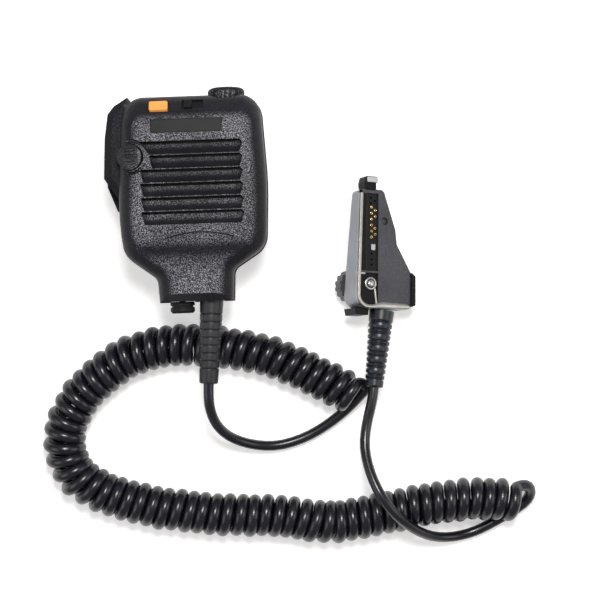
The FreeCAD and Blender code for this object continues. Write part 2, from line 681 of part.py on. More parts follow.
# front half: shell, louvred grille, bay, seats and posts
cavity = inner_front.cut(bay_block).cut(knob_boss)
cups = [
    cup(orange_place, d.orange_wide / 2, d.orange_long / 2, d.orange_tall, 1.0),
    cup(slide_place, d.slot_wide / 2, d.slot_long / 2, d.slot_deep + 1.6, 1.0),
    placed(rod(d.fn_ring, V(0, 0, -d.fn_deep - 1), V(0, 0, 3)), fn_place),
]
cavity = cavity.cut(cups)
front = outer_front.cut(cavity)
ribs = [
    seat_rib(speaker_mid, d.speaker_round + 0.2, d.speaker_top - d.speaker_flange - 1.5),
    seat_rib(capsule_mid, d.capsule_round + d.sleeve_wall, d.capsule_top - d.capsule_tall),
]
ribs += [rod(d.post_round, V(x, y, d.parting), V(x, y, d.front_z)) for x, y in posts]
front = front.fuse([rib.common(inner_front) for rib in ribs])
gap = d.button_gap
orange_hole = slab(-d.orange_wide / 2 - gap, d.orange_wide / 2 + gap, -d.orange_long / 2 - gap,
                   d.orange_long / 2 + gap, -d.orange_tall, 6)
slot = slab(-d.slot_wide / 2, d.slot_wide / 2, -d.slot_long / 2, d.slot_long / 2, -d.slot_deep, 6)
fn_bore = rod(d.fn_round + gap, V(0, 0, -d.fn_deep), V(0, 0, 6))
fn_groove = Part.makeTorus(d.fn_ring, 0.7, V(0, 0, 0.1))
label_floor = front_level(d.label_y + d.label_tall / 2) - d.label_deep
label_hole = slab(d.label_x - d.label_half, d.label_x + d.label_half, d.label_y - d.label_tall / 2,
                  d.label_y + d.label_tall / 2, label_floor, FAR / 2)
tools = [
    placed(orange_hole, orange_place),
    placed(slot, slide_place),
    placed(fn_bore, fn_place),
    placed(fn_groove, fn_place),
    label_hole,
    rod(d.mic_hole, capsule_mid, capsule_mid + V(0, 0, FAR / 2)),
    arch_groove(),
    neck_bevel(),
    bay(0),
    pivot_tool,
    nub_tool,
]
tools += [louvre(i) for i in range(int(d.louvre_count))]
tools += [rod(d.screw_round, V(x, y, 0), V(x, y, d.parting + 8)) for x, y in posts]
tools += end_tools()
front = front.cut(tools)
solid_feature("front_case", front.removeSplitter())

# rear half: shell with a bead round the joint, bay, posts and the swivel foot of the clip
bead = Part.Face(case_outline(d.parting - d.lip_tall, d.lip)).extrude(V(0, 0, d.lip_tall))
rear_cavity = inner_rear.cut(bay_block).cut(knob_boss)
rear = outer_rear.fuse(bead).cut(rear_cavity)
foot_z = d.back_z - d.clip_foot_tall
clip_mid = V(0, d.clip_y, 0)
foot = rod(d.clip_foot, clip_mid + V(0, 0, foot_z), clip_mid + V(0, 0, d.back_z + d.back_wall))
swivel_boss = rod(d.mount_round + 2.4, clip_mid + V(0, 0, d.back_z), clip_mid + V(0, 0, d.board_z - 0.4))
post_rods = [rod(d.post_round, V(x, y, d.back_z + 1), V(x, y, d.parting)) for x, y in posts]
rear = rear.fuse([foot, swivel_boss] + [p.common(outer_rear) for p in post_rods])
tools = [bay(0), pivot_tool, nub_tool]
tools += [rod(d.screw_head, V(x, y, 0), V(x, y, d.back_z + d.head_sunk)) for x, y in posts]
tools += [rod(d.screw_round, V(x, y, 0), V(x, y, d.parting + 1)) for x, y in posts]
tools.append(rod(d.mount_round, clip_mid, clip_mid + V(0, 0, d.board_z - 1.5)))
tools += end_tools()
rear = rear.cut(tools)
solid_feature("rear_case", rear.removeSplitter())

label_body = new_body("label_plate")
pad(label_body, sketch(label_body, "XY_Plane", box_corners(
    "dims.label_x - dims.label_half + 0.15", "dims.label_x + dims.label_half - 0.15",
    "dims.label_y - dims.label_tall / 2 + 0.15", "dims.label_y + dims.label_tall / 2 - 0.15"),
    lift=str(label_floor)), "dims.label_deep")
soften(label_body, "0.6", upright)

# ---------------------------------------------------------------- push-to-talk bar

BAR_INNER = "(dims.case_half - dims.ptt_sunk)"
BAR_OUTER = "(dims.case_half + dims.ptt_proud)"
PIVOT_X = "(dims.pivot_sunk - dims.case_half)"
ptt = new_body("ptt_lever")
bar_sketch = sketch(ptt, "XY_Plane", [
    ("-" + BAR_INNER, "dims.ptt_low"),
    ("-" + BAR_INNER, "dims.ptt_top - dims.ptt_hook"),
    ("dims.ptt_tip - dims.case_half", "dims.ptt_top"),
    ("dims.brow_in - " + BAR_OUTER, "dims.ptt_top - dims.brow_down"),
    ("dims.cheek_in - " + BAR_OUTER, "dims.ptt_top - dims.cheek_down"),
    ("dims.flank_in - " + BAR_OUTER, "dims.ptt_top - dims.flank_down"),
    ("-" + BAR_OUTER, "dims.ptt_low + dims.ptt_heel"),
    ("-dims.case_half", "dims.ptt_low + dims.ptt_toe"),
    ("dims.ptt_toe - dims.case_half", "dims.ptt_low"),
], lift="dims.ptt_back")
pad(ptt, bar_sketch, "dims.ptt_front - dims.ptt_back")
soften(ptt, "dims.ptt_chamfer", kind="Chamfer",
       test=lambda e: e.BoundBox.ZMin > d.ptt_front - 0.01 and e.BoundBox.XMin < -d.case_half - 0.5)
skirt = sketch(ptt, "XY_Plane", [
    ("-dims.case_half - dims.ptt_gap", "dims.ptt_low - dims.skirt_down"),
    ("-dims.case_half - dims.ptt_gap - dims.skirt_wide", "dims.ptt_low - dims.skirt_down"),
    ("-" + BAR_OUTER, "dims.ptt_low + dims.skirt_heel"),
    ("-" + BAR_OUTER, "dims.ptt_low + dims.ptt_heel"),
    ("-dims.case_half - dims.ptt_gap", "dims.ptt_low + dims.ptt_heel"),
], lift="dims.ptt_back")
pad(ptt, skirt, "dims.skirt_tall")
pocket(ptt, sketch(ptt, "XY_Plane", circles=[(PIVOT_X, "dims.pivot_y",
                                              "dims.pivot_pin + dims.run_fit")]),
       "200", middle=True)
nub = sketch(ptt, "YZ_Plane", circles=[("dims.nub_y", "dims.parting", "dims.nub_round")],
             lift="-%s - 0.5" % BAR_INNER)
pad(ptt, nub, "dims.nub_long + 0.5")


def cylinder(label, radius, length, x, y, z, axis=(0, 0, 1), turn=0.0):
    """Part cylinder bound to the sheet; x, y, z, radius and length are formulas"""
    rod_object = doc.addObject("Part::Cylinder", label)
    rod_object.setExpression("Radius", radius)
    rod_object.setExpression("Height", length)
    rod_object.Placement = Placement(V(0, 0, 0), Rotation(V(*axis), turn))
    for name, formula in zip("xyz", (x, y, z)):
        rod_object.setExpression(".Placement.Base." + name, formula)
    return rod_object


def block(label, length, width, height, x, y, z):
    box = doc.addObject("Part::Box", label)
    for name, formula in (("Length", length), ("Width", width), ("Height", height)):
        box.setExpression(name, formula)
    for name, formula in zip("xyz", (x, y, z)):
        box.setExpression(".Placement.Base." + name, formula)
    return box


def joined(label, kind, pieces, place=None):
    """named boolean of Part objects: Cut takes the rest from the first, Fuse joins all"""
    if kind == "Cut":
        result = doc.addObject("Part::Cut", label)
        tools = pieces[1:]
        result.Base = pieces[0]
        result.Tool = tools[0] if len(tools) == 1 else joined(label + "_tools", "Fuse", tools, Placement())
    else:
        result = doc.addObject("Part::MultiFuse", label)
        result.Shapes = pieces
    result.Label = label
    result.Placement = place if place is not None else FRAME
    return result


DOWN_Y = ((1, 0, 0), 90)      # turns a cylinder's axis to -y
UP_Y = ((1, 0, 0), -90)       # turns it to +y
UP_X = ((0, 1, 0), 90)        # turns it to +x

pin = cylinder("pin_rod", "dims.pivot_pin", "dims.ptt_front - dims.ptt_back + 2 * dims.ptt_gap + 2 * dims.pin_bite",
               PIVOT_X, "dims.pivot_y", "dims.ptt_back - dims.ptt_gap - dims.pin_bite")
joined("ptt_pivot_pin", "Fuse", [pin, cylinder("pin_core", "dims.pivot_pin", "1", PIVOT_X,
                                               "dims.pivot_y", "dims.ptt_back")])

switch_x = "dims.bay_deep - dims.case_half + dims.bay_wall + 0.1"
switch = block("switch_case", "5.6", "6", "4.2", switch_x + " + 1.2", "dims.nub_y - 3",
               "dims.board_z + dims.board_thick")
stem = cylinder("switch_stem", "1.5", "1.2", switch_x + " + 0.35", "dims.nub_y",
                "dims.board_z + dims.board_thick + 2.1", *UP_X)
joined("ptt_switch", "Fuse", [switch, stem])

# ---------------------------------------------------------------- buttons

orange = new_body("orange_button", FRAME * orange_place)
pad(orange, sketch(orange, "XY_Plane", box_corners("-dims.orange_wide / 2", "dims.orange_wide / 2",
                                                   "-dims.orange_long / 2", "dims.orange_long / 2"),
                   lift="dims.orange_turn + dims.pad_tall + 0.1 - dims.orange_tall"),
    "dims.orange_tall + dims.orange_proud - dims.orange_turn - dims.pad_tall - 0.1")
soften(orange, "0.8", upright)
soften(orange, "0.4", lambda e: e.BoundBox.ZMin > d.orange_proud - 0.01)
orange_pad = new_body("orange_button_rubber", FRAME * orange_place)
pad(orange_pad, sketch(orange_pad, "XY_Plane", box_corners(
    "-dims.orange_wide / 2", "dims.orange_wide / 2", "-dims.orange_long / 2", "dims.orange_long / 2"),
    lift="-dims.orange_tall"), "dims.pad_tall")

slide = new_body("slide_switch_knob", FRAME * slide_place)
pad(slide, sketch(slide, "XY_Plane", box_corners(
    "-dims.slide_travel / 2 - dims.thumb_wide / 2", "-dims.slide_travel / 2 + dims.thumb_wide / 2",
    "-dims.thumb_long / 2", "dims.thumb_long / 2"), lift="0.35 - dims.slot_deep"), "dims.thumb_tall")
for shift in (-0.9, 0, 0.9):
    middle = "-dims.slide_travel / 2 + %s" % shift
    pocket(slide, sketch(slide, "XY_Plane", box_corners(
        middle + " - dims.thumb_rib / 2", middle + " + dims.thumb_rib / 2", "-5", "5"),
        lift="0.35 - dims.slot_deep + dims.thumb_tall"), "0.4")
slide_base = new_body("slide_switch_plate", FRAME * slide_place)
pad(slide_base, sketch(slide_base, "XY_Plane", box_corners(
    "-dims.slot_wide / 2", "dims.slot_wide / 2", "-dims.slot_long / 2", "dims.slot_long / 2"),
    lift="-dims.slot_deep"), "0.3")

button = new_body("function_button", FRAME * fn_place)
foot_level = "dims.fn_travel + dims.pad_tall + 0.1 - dims.fn_deep"
revolve(button, sketch(button, "XZ_Plane", [
    ("0", foot_level), ("dims.fn_round", foot_level), ("dims.fn_round", "dims.fn_proud"),
    ("dims.fn_round * 0.8", "dims.fn_proud + dims.fn_dome * 0.55"),
    ("dims.fn_round * 0.4", "dims.fn_proud + dims.fn_dome * 0.9"),
    ("0", "dims.fn_proud + dims.fn_dome")]))
for side in ("-", ""):
    middle = side + "dims.fn_bar_apart / 2"
    pad(button, sketch(button, "XY_Plane", box_corners("-dims.fn_bar / 2", "dims.fn_bar / 2",
                                                       middle + " - dims.fn_bar_wide / 2",
                                                       middle + " + dims.fn_bar_wide / 2")),
        "dims.fn_proud + dims.fn_dome + dims.fn_bar_rise")
button_pad = new_body("function_button_rubber", FRAME * fn_place)
pad(button_pad, sketch(button_pad, "XY_Plane", circles=[("0", "0", "dims.fn_round - 0.3")],
                       lift="-dims.fn_deep"), "dims.pad_tall")

# ---------------------------------------------------------------- volume knob

knob_base = Placement(V(d.knob_x, d.case_end - d.knob_sunk, d.parting), Rotation(V(1, 0, 0), -90))
knob = new_body("volume_knob", FRAME * knob_base)
revolve(knob, sketch(knob, "XZ_Plane", [
    ("0", "0.3"), ("dims.knob_round", "0.3"), ("dims.knob_round", "dims.knob_tall - 1.3"),
    ("dims.knob_round - 0.35", "dims.knob_tall - 0.5"), ("dims.knob_round - 1.2", "dims.knob_tall"),
    ("0", "dims.knob_tall")]))
flute = pocket(knob, sketch(knob, "XY_Plane", circles=[("dims.knob_round", "0", "dims.knob_flute")]),
               "dims.knob_tall - 1", reverse=True)
doc.recompute()
flutes = knob.newObject("PartDesign::PolarPattern", "flutes")
flutes.Originals = [flute]
flutes.Axis = (plane(knob, "Z_Axis"), [""])
flutes.Angle = 360
flutes.setExpression("Occurrences", "dims.flute_count")
knob.Tip = flutes

shaft_long = 7.0
shaft = new_body("volume_shaft", FRAME * knob_base)
pad(shaft, sketch(shaft, "XY_Plane", circles=[("0", "0", "dims.shaft_round")], lift="-%s" % shaft_long),
    "%s + 0.3" % shaft_long)
pot = new_body("volume_control")
pot_back = "dims.case_end - dims.knob_sunk - %s - 7.5" % shaft_long
pad(pot, sketch(pot, "XY_Plane", box_corners("dims.knob_x - 3.9", "dims.knob_x + 3.9", pot_back,
                                             pot_back + " + 7.4"), lift="dims.board_z + dims.board_thick"), "8.6")

# ---------------------------------------------------------------- speaker, microphone, circuit board

speaker = new_body("speaker_frame", FRAME * Placement(V(0, d.speaker_y, 0), Rotation()))
revolve(speaker, sketch(speaker, "XZ_Plane", [
    ("dims.speaker_round - 1.6", "dims.speaker_top"), ("dims.speaker_round", "dims.speaker_top"),
    ("dims.speaker_round", "dims.speaker_top - dims.speaker_flange"),
    ("dims.speaker_round - 1.6", "dims.speaker_top - dims.speaker_flange"),
    ("dims.magnet_round + 1", "dims.speaker_top - dims.speaker_deep"),
    ("4", "dims.speaker_top - dims.speaker_deep"),
    ("4", "dims.speaker_top - dims.speaker_deep + 0.8"),
    ("dims.magnet_round + 0.6", "dims.speaker_top - dims.speaker_deep + 0.8")]))
magnet = new_body("speaker_magnet", FRAME * Placement(V(0, d.speaker_y, 0), Rotation()))
revolve(magnet, sketch(magnet, "XZ_Plane", [
    ("0", "dims.speaker_top - dims.speaker_deep - dims.magnet_tall"),
    ("dims.magnet_round", "dims.speaker_top - dims.speaker_deep - dims.magnet_tall"),
    ("dims.magnet_round", "dims.speaker_top - dims.speaker_deep"),
    ("3.6", "dims.speaker_top - dims.speaker_deep"),
    ("3.6", "dims.speaker_top - dims.speaker_deep + 1.2"),
    ("0", "dims.speaker_top - dims.speaker_deep + 1.2")]))
cone = new_body("speaker_cone", FRAME * Placement(V(0, d.speaker_y, 0), Rotation()))
revolve(cone, sketch(cone, "XZ_Plane", [
    ("0", "dims.speaker_top - 2.2"), ("4", "dims.speaker_top - 3"),
    ("dims.speaker_round - 3", "dims.speaker_top - 0.7"), ("dims.speaker_round - 1.8", "dims.speaker_top"),
    ("dims.speaker_round - 0.4", "dims.speaker_top"),
    ("dims.speaker_round - 0.4", "dims.speaker_top + dims.surround_rise"),
    ("dims.speaker_round - 3", "dims.speaker_top - 0.1"),
    ("4.2", "dims.speaker_top - 2.4"), ("0", "dims.speaker_top - 1.6")]))

screen = new_body("speaker_screen", FRAME * Placement(V(0, d.speaker_y, 0), Rotation()))
pad(screen, sketch(screen, "XY_Plane", circles=[("0", "0", "dims.speaker_round - 0.4")],
                   lift="dims.speaker_top + dims.surround_rise"), "dims.screen_thick")

sleeve = new_body("microphone_sleeve", FRAME * Placement(V(0, d.mic_y, 0), Rotation()))
revolve(sleeve, sketch(sleeve, "XZ_Plane", [
    ("dims.capsule_round", "dims.capsule_top - dims.capsule_tall + 1"),
    ("dims.capsule_round + dims.sleeve_wall", "dims.capsule_top - dims.capsule_tall + 1"),
    ("dims.capsule_round + dims.sleeve_wall", "dims.capsule_top"), ("dims.capsule_round", "dims.capsule_top")]))
capsule = cylinder("capsule_can", "dims.capsule_round", "dims.capsule_tall", "0", "dims.mic_y",
                   "dims.capsule_top - dims.capsule_tall")
joined("microphone_capsule", "Cut", [capsule, cylinder("capsule_port", "0.7", "1", "0", "dims.mic_y",
                                                       "dims.capsule_top - 0.5")])

board = new_body("circuit_board")
pad(board, sketch(board, "XY_Plane", box_corners("-dims.board_half", "dims.board_half", "dims.board_low",
                                                 "dims.board_top"), lift="dims.board_z"), "dims.board_thick")
pocket(board, sketch(board, "XY_Plane", circles=[
    ("dims.post_x * %d" % side, post, "dims.post_round + 0.3")
    for side in (-1, 1) for post in ("dims.post_low", "dims.post_high")]), "200", middle=True)

# ---------------------------------------------------------------- neck end: cord boot, earphone socket


def ringed_profile(base, tip, length, rings, pitch, wide, deep, first):
    """outline of a tapered boot with ring grooves, along its own z axis"""
    taper = "(%s - (%s - %s) / %s * (%%s))" % (base, base, tip, length)
    corners = [("0", "0"), (base, "0")]
    for i in range(rings):
        start = "%s + %d * %s" % (first, i, pitch)
        end = start + " + " + wide
        corners += [(taper % start, start), (taper % start + " - " + deep, start),
                    (taper % end + " - " + deep, end), (taper % end, end)]
    corners += [(tip, length + " - 0.8"), (tip + " - 0.6", length), ("0", length)]
    return corners


lean = math.radians(d.boot_lean)
boot_heading = V(-math.sin(lean), -math.cos(lean), 0)
neck_face = V(d.cord_x, -d.neck_end, d.parting)
boot_start = neck_face + V(0, -0.6, 0)
boot_sleeve = new_body("boot_sleeve", Placement(boot_start, Rotation(V(0, 0, 1), boot_heading)))
revolve(boot_sleeve, sketch(boot_sleeve, "XZ_Plane", ringed_profile(
    "dims.boot_base", "dims.boot_tip", "dims.boot_long", int(d.boot_rings), "dims.ring_pitch",
    "dims.ring_wide", "dims.ring_deep", "4.2")))
grommet = cylinder("grommet", "dims.boot_base - dims.run_fit", "dims.wall", "dims.cord_x", "dims.wall - dims.neck_end",
                   "dims.parting", *DOWN_Y)
flange = block("grommet_flange", "dims.boot_flange + dims.flange_out", "dims.flange_thick",
               "2 * dims.boot_flange", "dims.cord_x - dims.boot_flange", "dims.wall - dims.neck_end",
               "dims.parting - dims.boot_flange")
grommet_neck = cylinder("grommet_neck", "dims.boot_base - 0.9", "dims.wall + 2", "dims.cord_x",
                        "dims.wall - dims.neck_end", "dims.parting", *DOWN_Y)
joined("mic_boot", "Fuse", [boot_sleeve, grommet, grommet_neck, flange])
boot_end = FRAME.multVec(boot_start + boot_heading * d.boot_long)
boot_leave = FRAME.multVec(boot_start + boot_heading * (d.boot_long + d.lead_straight))

socket = cylinder("socket_tube", "dims.jack_round", "dims.jack_long", "dims.jack_x",
                  "dims.jack_long - dims.neck_end", "dims.parting", *DOWN_Y)
socket_bore = cylinder("socket_bore", "dims.jack_bore", "dims.jack_long", "dims.jack_x",
                       "dims.jack_long - dims.neck_end - 1", "dims.parting", *DOWN_Y)
joined("earphone_socket", "Cut", [socket, socket_bore])
cap = new_body("socket_cap", FRAME * Placement(V(d.jack_x, -d.neck_end, d.parting), Rotation(V(1, 0, 0), 90)))
revolve(cap, sketch(cap, "XZ_Plane", [
    ("0", "-4"), ("dims.jack_bore - dims.run_fit", "-4"), ("dims.jack_bore - dims.run_fit", "0.1"),
    ("dims.cap_round - 0.4", "0.1"), ("dims.cap_round", "0.5"), ("dims.cap_round", "1.5"),
    ("dims.cap_round - 0.6", "1.7"), ("dims.cap_round - 0.6", "2.2"), ("dims.cap_round", "2.4"),
    ("dims.cap_round", "dims.cap_long - 0.8"), ("dims.cap_round - 0.8", "dims.cap_long"),
    ("0", "dims.cap_long")]))

# ---------------------------------------------------------------- case screws

screw_parts = []
for number, (x, y) in enumerate(posts):
    x_name = "dims.post_x * %d" % math.copysign(1, x)
    y_name = "dims.post_low" if y < 0 else "dims.post_high"
    seat_z = "dims.back_z + dims.head_sunk"
    head = cylinder("screw_head_%d" % number, "dims.screw_head - 0.1", "1.5", x_name, y_name, seat_z + " - 1.5")
    shank = cylinder("screw_shank_%d" % number, "dims.screw_round", "dims.parting + 7.5 - dims.back_z - dims.head_sunk",
                     x_name, y_name, seat_z)
    slots = [block("screw_slot_%d_%d" % (number, turn), long, wide, "0.7", x_name + " - %s / 2" % long,
                   y_name + " - %s / 2" % wide, seat_z + " - 1.5")
             for turn, (long, wide) in enumerate((("2.6", "0.6"), ("0.6", "2.6")))]
    screw_parts.append(joined("screw_%d" % number, "Cut", [joined("screw_blank_%d" % number, "Fuse",
                                                                   [head, shank], Placement())] + slots,
                              Placement()))
joined("case_screws", "Fuse", screw_parts)

# ---------------------------------------------------------------- belt clip

clip_top = "dims.back_z - dims.clip_foot_tall - dims.clip_gap"
clip_low = clip_top + " - dims.clip_thick"
hinge_at = "dims.clip_y + dims.hinge_y"
clip_base = new_body("clip_base")
pad(clip_base, sketch(clip_base, "XY_Plane", box_corners(
    "-dims.clip_half", "dims.clip_half", "dims.clip_y - dims.clip_down", "dims.clip_y + dims.clip_up"),
    lift=clip_low), "dims.clip_thick")
soften(clip_base, "dims.clip_corner", upright)
for side in ("dims.ear_thick / 2 - dims.clip_half", "dims.clip_half - dims.ear_thick / 2"):
    pad(clip_base, sketch(clip_base, "YZ_Plane", box_corners(
        hinge_at + " - dims.ear_round", hinge_at + " + dims.ear_round", "dims.hinge_z", clip_low + " + 0.2"),
        lift=side), "dims.ear_thick", middle=True)
    pad(clip_base, sketch(clip_base, "YZ_Plane", circles=[(hinge_at, "dims.hinge_z", "dims.ear_round")],
                          lift=side), "dims.ear_thick", middle=True)
pocket(clip_base, sketch(clip_base, "YZ_Plane", circles=[(hinge_at, "dims.hinge_z", "dims.hinge_pin")]),
       "200", middle=True)
pocket(clip_base, sketch(clip_base, "XY_Plane", circles=[("0", "dims.clip_y", "dims.mount_round + dims.run_fit")]),
       "200", middle=True)

lever_half = "(dims.clip_half - dims.ear_thick - dims.ear_gap)"
clip_lever = new_body("clip_lever")
pad(clip_lever, sketch(clip_lever, "XY_Plane", box_corners(
    "-" + lever_half, lever_half, "dims.clip_y - dims.clip_down", "dims.clip_y + dims.clip_up + 2")),
    "dims.clip_thick")
soften(clip_lever, "dims.clip_corner * 0.8", lambda e: upright(e) and e.BoundBox.YMin > 0)
pad(clip_lever, sketch(clip_lever, "XY_Plane", box_corners(
    "-" + lever_half, lever_half, "dims.clip_y - dims.clip_down", "dims.clip_y - dims.clip_down + dims.clip_thick")),
    clip_low + " - dims.jaw_gap")
for side in ("dims.ear_thick / 2 - " + lever_half, lever_half + " - dims.ear_thick / 2"):
    pad(clip_lever, sketch(clip_lever, "YZ_Plane", box_corners(
        hinge_at + " - dims.ear_round + 0.4", hinge_at + " + dims.ear_round - 0.4", "0", "dims.hinge_z"),
        lift=side), "dims.ear_thick", middle=True)
    pad(clip_lever, sketch(clip_lever, "YZ_Plane", circles=[(hinge_at, "dims.hinge_z", "dims.ear_round - 0.4")],
                           lift=side), "dims.ear_thick", middle=True)
pocket(clip_lever, sketch(clip_lever, "YZ_Plane", circles=[(hinge_at, "dims.hinge_z",
                                                            "dims.hinge_pin + dims.run_fit")]), "200", middle=True)
hinge_pin = new_body("clip_hinge_pin")
pad(hinge_pin, sketch(hinge_pin, "YZ_Plane", circles=[(hinge_at, "dims.hinge_z", "dims.hinge_pin")]),
    "2 * dims.clip_half", middle=True)

spring_place = Placement(V(0, d.clip_y + d.hinge_y, d.hinge_z), Rotation(V(0, 1, 0), 90))
spring = new_body("clip_spring", FRAME * spring_place)
turn_pitch = "(2 * dims.spring_wire)"
inside = "dims.spring_coil - dims.spring_wire"
outside = "dims.spring_coil + dims.spring_wire"
half_coil = "dims.spring_turns * dims.spring_wire"
scallops = [(inside, "-" + half_coil)]
for i in range(int(d.spring_turns)):
    start = "%d * %s - %s" % (i, turn_pitch, half_coil)
    scallops += [(outside + " - 0.25", start), (outside, start + " + dims.spring_wire")]
scallops += [(outside + " - 0.25", half_coil), (inside, half_coil)]
revolve(spring, sketch(spring, "XZ_Plane", scallops))
pad(spring, sketch(spring, "YZ_Plane", circles=[("dims.spring_coil", half_coil + " - dims.spring_wire",
                                                 "dims.spring_wire")]),
    "%s - dims.hinge_z" % clip_low, reverse=True)

mount_top = clip_low + " - dims.clip_gap"
mount_shank = cylinder("mount_shank", "dims.mount_round", "dims.board_z - 1.5 - (%s)" % mount_top, "0",
                       "dims.clip_y", mount_top)
mount_cap = cylinder("mount_cap", "dims.mount_head", "dims.mount_head_tall", "0", "dims.clip_y",
                     mount_top + " - dims.mount_head_tall")
mount_slot = block("mount_slot", "20", "1", "0.8", "-10", "dims.clip_y - 0.5",
                   mount_top + " - dims.mount_head_tall")
joined("clip_screw", "Cut", [joined("clip_screw_blank", "Fuse", [mount_shank, mount_cap], Placement()), mount_slot])

# ---------------------------------------------------------------- connector

plug_turn = (Rotation(V(0, 0, 1), d.plug_yaw) * Rotation(V(0, 1, 0), d.plug_tilt)
             * Rotation(V(1, 0, 0), -d.plug_pitch))
axis = plug_turn.multVec(V(0, 0, 1))
knob_level = -d.plug_deep - 0.3 - d.thumb_knob_tall
lowest = [axis.z * knob_level - d.thumb_round * math.hypot(axis.x, axis.y)]
lowest += [plug_turn.multVec(V(x, y, z)).z for x, y, z in (
    (d.plug_right + 1.7, -d.plug_foot + 1, -d.plug_deep + 1), (d.plug_right + 1.7, 5.5, -d.plug_deep + 1),
    (d.plug_right, -d.plug_foot, -d.plug_deep), (d.plug_right, 5, -d.plug_deep),
    (d.plug_nose, d.plug_long, -d.plug_slim))]
PLUG = Placement(V(d.plug_x, d.plug_y, -min(lowest)), plug_turn)

plug_outline = [
    ("-dims.plug_left", "-dims.plug_foot"), ("dims.plug_right", "-dims.plug_foot"), ("dims.plug_right", "5"),
    ("dims.plug_right - 6.4", "16.2"), ("dims.plug_right - 7", "21.8"), ("dims.plug_nose", "dims.plug_long - 1"),
    ("dims.plug_nose - 1", "dims.plug_long"), ("-dims.plug_nose_left + 0.8", "dims.plug_long"),
    ("-dims.plug_nose_left", "dims.plug_long - 0.8")]
shell = new_body("connector_shell", PLUG)
pad(shell, sketch(shell, "XY_Plane", plug_outline, lift="-dims.face_thick"), "dims.plug_deep - dims.face_thick",
    reverse=True)
pocket(shell, sketch(shell, "YZ_Plane", [("9", "-dims.plug_deep"), ("dims.plug_long + 1", "-dims.plug_slim"),
                                         ("dims.plug_long + 1", "-30"), ("9", "-30")]), "200", middle=True)
recess = box_corners("-1.8", "3.4", "5", "dims.plug_long - 1.6")
pocket(shell, sketch(shell, "XY_Plane", recess), "4.2")
pocket(shell, sketch(shell, "XY_Plane", circles=[("0", "0", "dims.thumb_shank + dims.run_fit")]), "200",
       middle=True)
pocket(shell, sketch(shell, "XY_Plane", circles=[("0", "0", "dims.ring_round")]), "dims.face_thick + 1.4")

face = new_body("connector_face", PLUG)
pad(face, sketch(face, "XY_Plane", [
    ("3.4", "-dims.plug_foot + 1.1"), ("dims.plug_right", "-dims.plug_foot + 1.1"), ("dims.plug_right", "5"),
    ("dims.plug_right - 6.4", "16.2"), ("dims.plug_right - 7", "21.8"), ("dims.plug_nose", "dims.plug_long - 1"),
    ("dims.plug_nose - 1", "dims.plug_long"), ("-dims.plug_nose_left + 1.2", "dims.plug_long"),
    ("-dims.plug_left + 0.7", "4.2"), ("3.4", "4.2")]), "dims.face_thick", reverse=True)
pocket(face, sketch(face, "XY_Plane", recess), "dims.face_thick")
pocket(face, sketch(face, "XY_Plane", circles=[("6.1", "25.2", "1.5")]), "1")

trim = new_body("connector_edge", PLUG)
pad(trim, sketch(trim, "XY_Plane", [
    ("-dims.plug_nose_left + 0.5", "dims.plug_long"), ("-dims.plug_nose_left", "dims.plug_long - 0.8"),
    ("-dims.plug_left", "4.2"), ("-dims.plug_left + 0.7", "4.2"), ("-dims.plug_nose_left + 1.2", "dims.plug_long")]),
    "dims.face_thick", reverse=True)
pad(trim, sketch(trim, "XY_Plane", box_corners("3.4", "dims.plug_right", "-dims.plug_foot",
                                               "-dims.plug_foot + 1.1")), "dims.face_thick", reverse=True)

frame_body = new_body("screw_frame", PLUG)
pad(frame_body, sketch(frame_body, "XY_Plane", box_corners("-dims.plug_left", "3.4", "-dims.plug_foot", "4.2")),
    "dims.face_thick", reverse=True)
pocket(frame_body, sketch(frame_body, "XY_Plane", box_corners("-dims.plug_left + 0.8", "2.6",
                                                              "-dims.plug_foot + 0.8", "3.4")), "1.1")
pocket(frame_body, sketch(frame_body, "XY_Plane", circles=[("0", "0", "dims.ring_round")]), "200", middle=True)
ring = new_body("screw_bush", PLUG)
pad(ring, sketch(ring, "XY_Plane", circles=[("0", "0", "dims.ring_round"), ("0", "0", "dims.thumb_shank + dims.run_fit")],
                 lift="-dims.face_thick - 1.4"), "dims.face_thick + 1.6")

insert = new_body("contact_block", PLUG)
pad(insert, sketch(insert, "XY_Plane", recess, lift="-4.2"), "3.2")
pocket(insert, sketch(insert, "XY_Plane", circles=[
    (x, y, "0.5") for x, y in (("0.4", "34.2"), ("2.2", "33.2"), ("0.4", "32.2"), ("0.9", "12"), ("0.9", "9.6"),
                               ("0.9", "7.6"))], lift="-1"), "1.5")
contacts = []
for i in range(int(d.pin_count)):
    contacts.append(cylinder("left_contact_%d" % i, "dims.pin_round", "0.8", "dims.row_left",
                             "dims.pin_top - %d * dims.pin_pitch" % i, "-1"))
# the right row lies half a pitch lower and lacks its middle contact
for i in range(int(d.pin_count) - 1):
    if i != int(d.pin_count) // 2 - 1:
        contacts.append(cylinder("right_contact_%d" % i, "dims.pin_round", "0.8", "dims.row_right",
                                 "dims.pin_top - %s * dims.pin_pitch" % (i + 0.5), "-1"))
joined("contact_pins", "Fuse", contacts, PLUG)
ground = new_body("ground_contact", PLUG)
pad(ground, sketch(ground, "XY_Plane", box_corners("0.5", "2.3", "13.4", "15.8"), lift="-1"), "0.5")

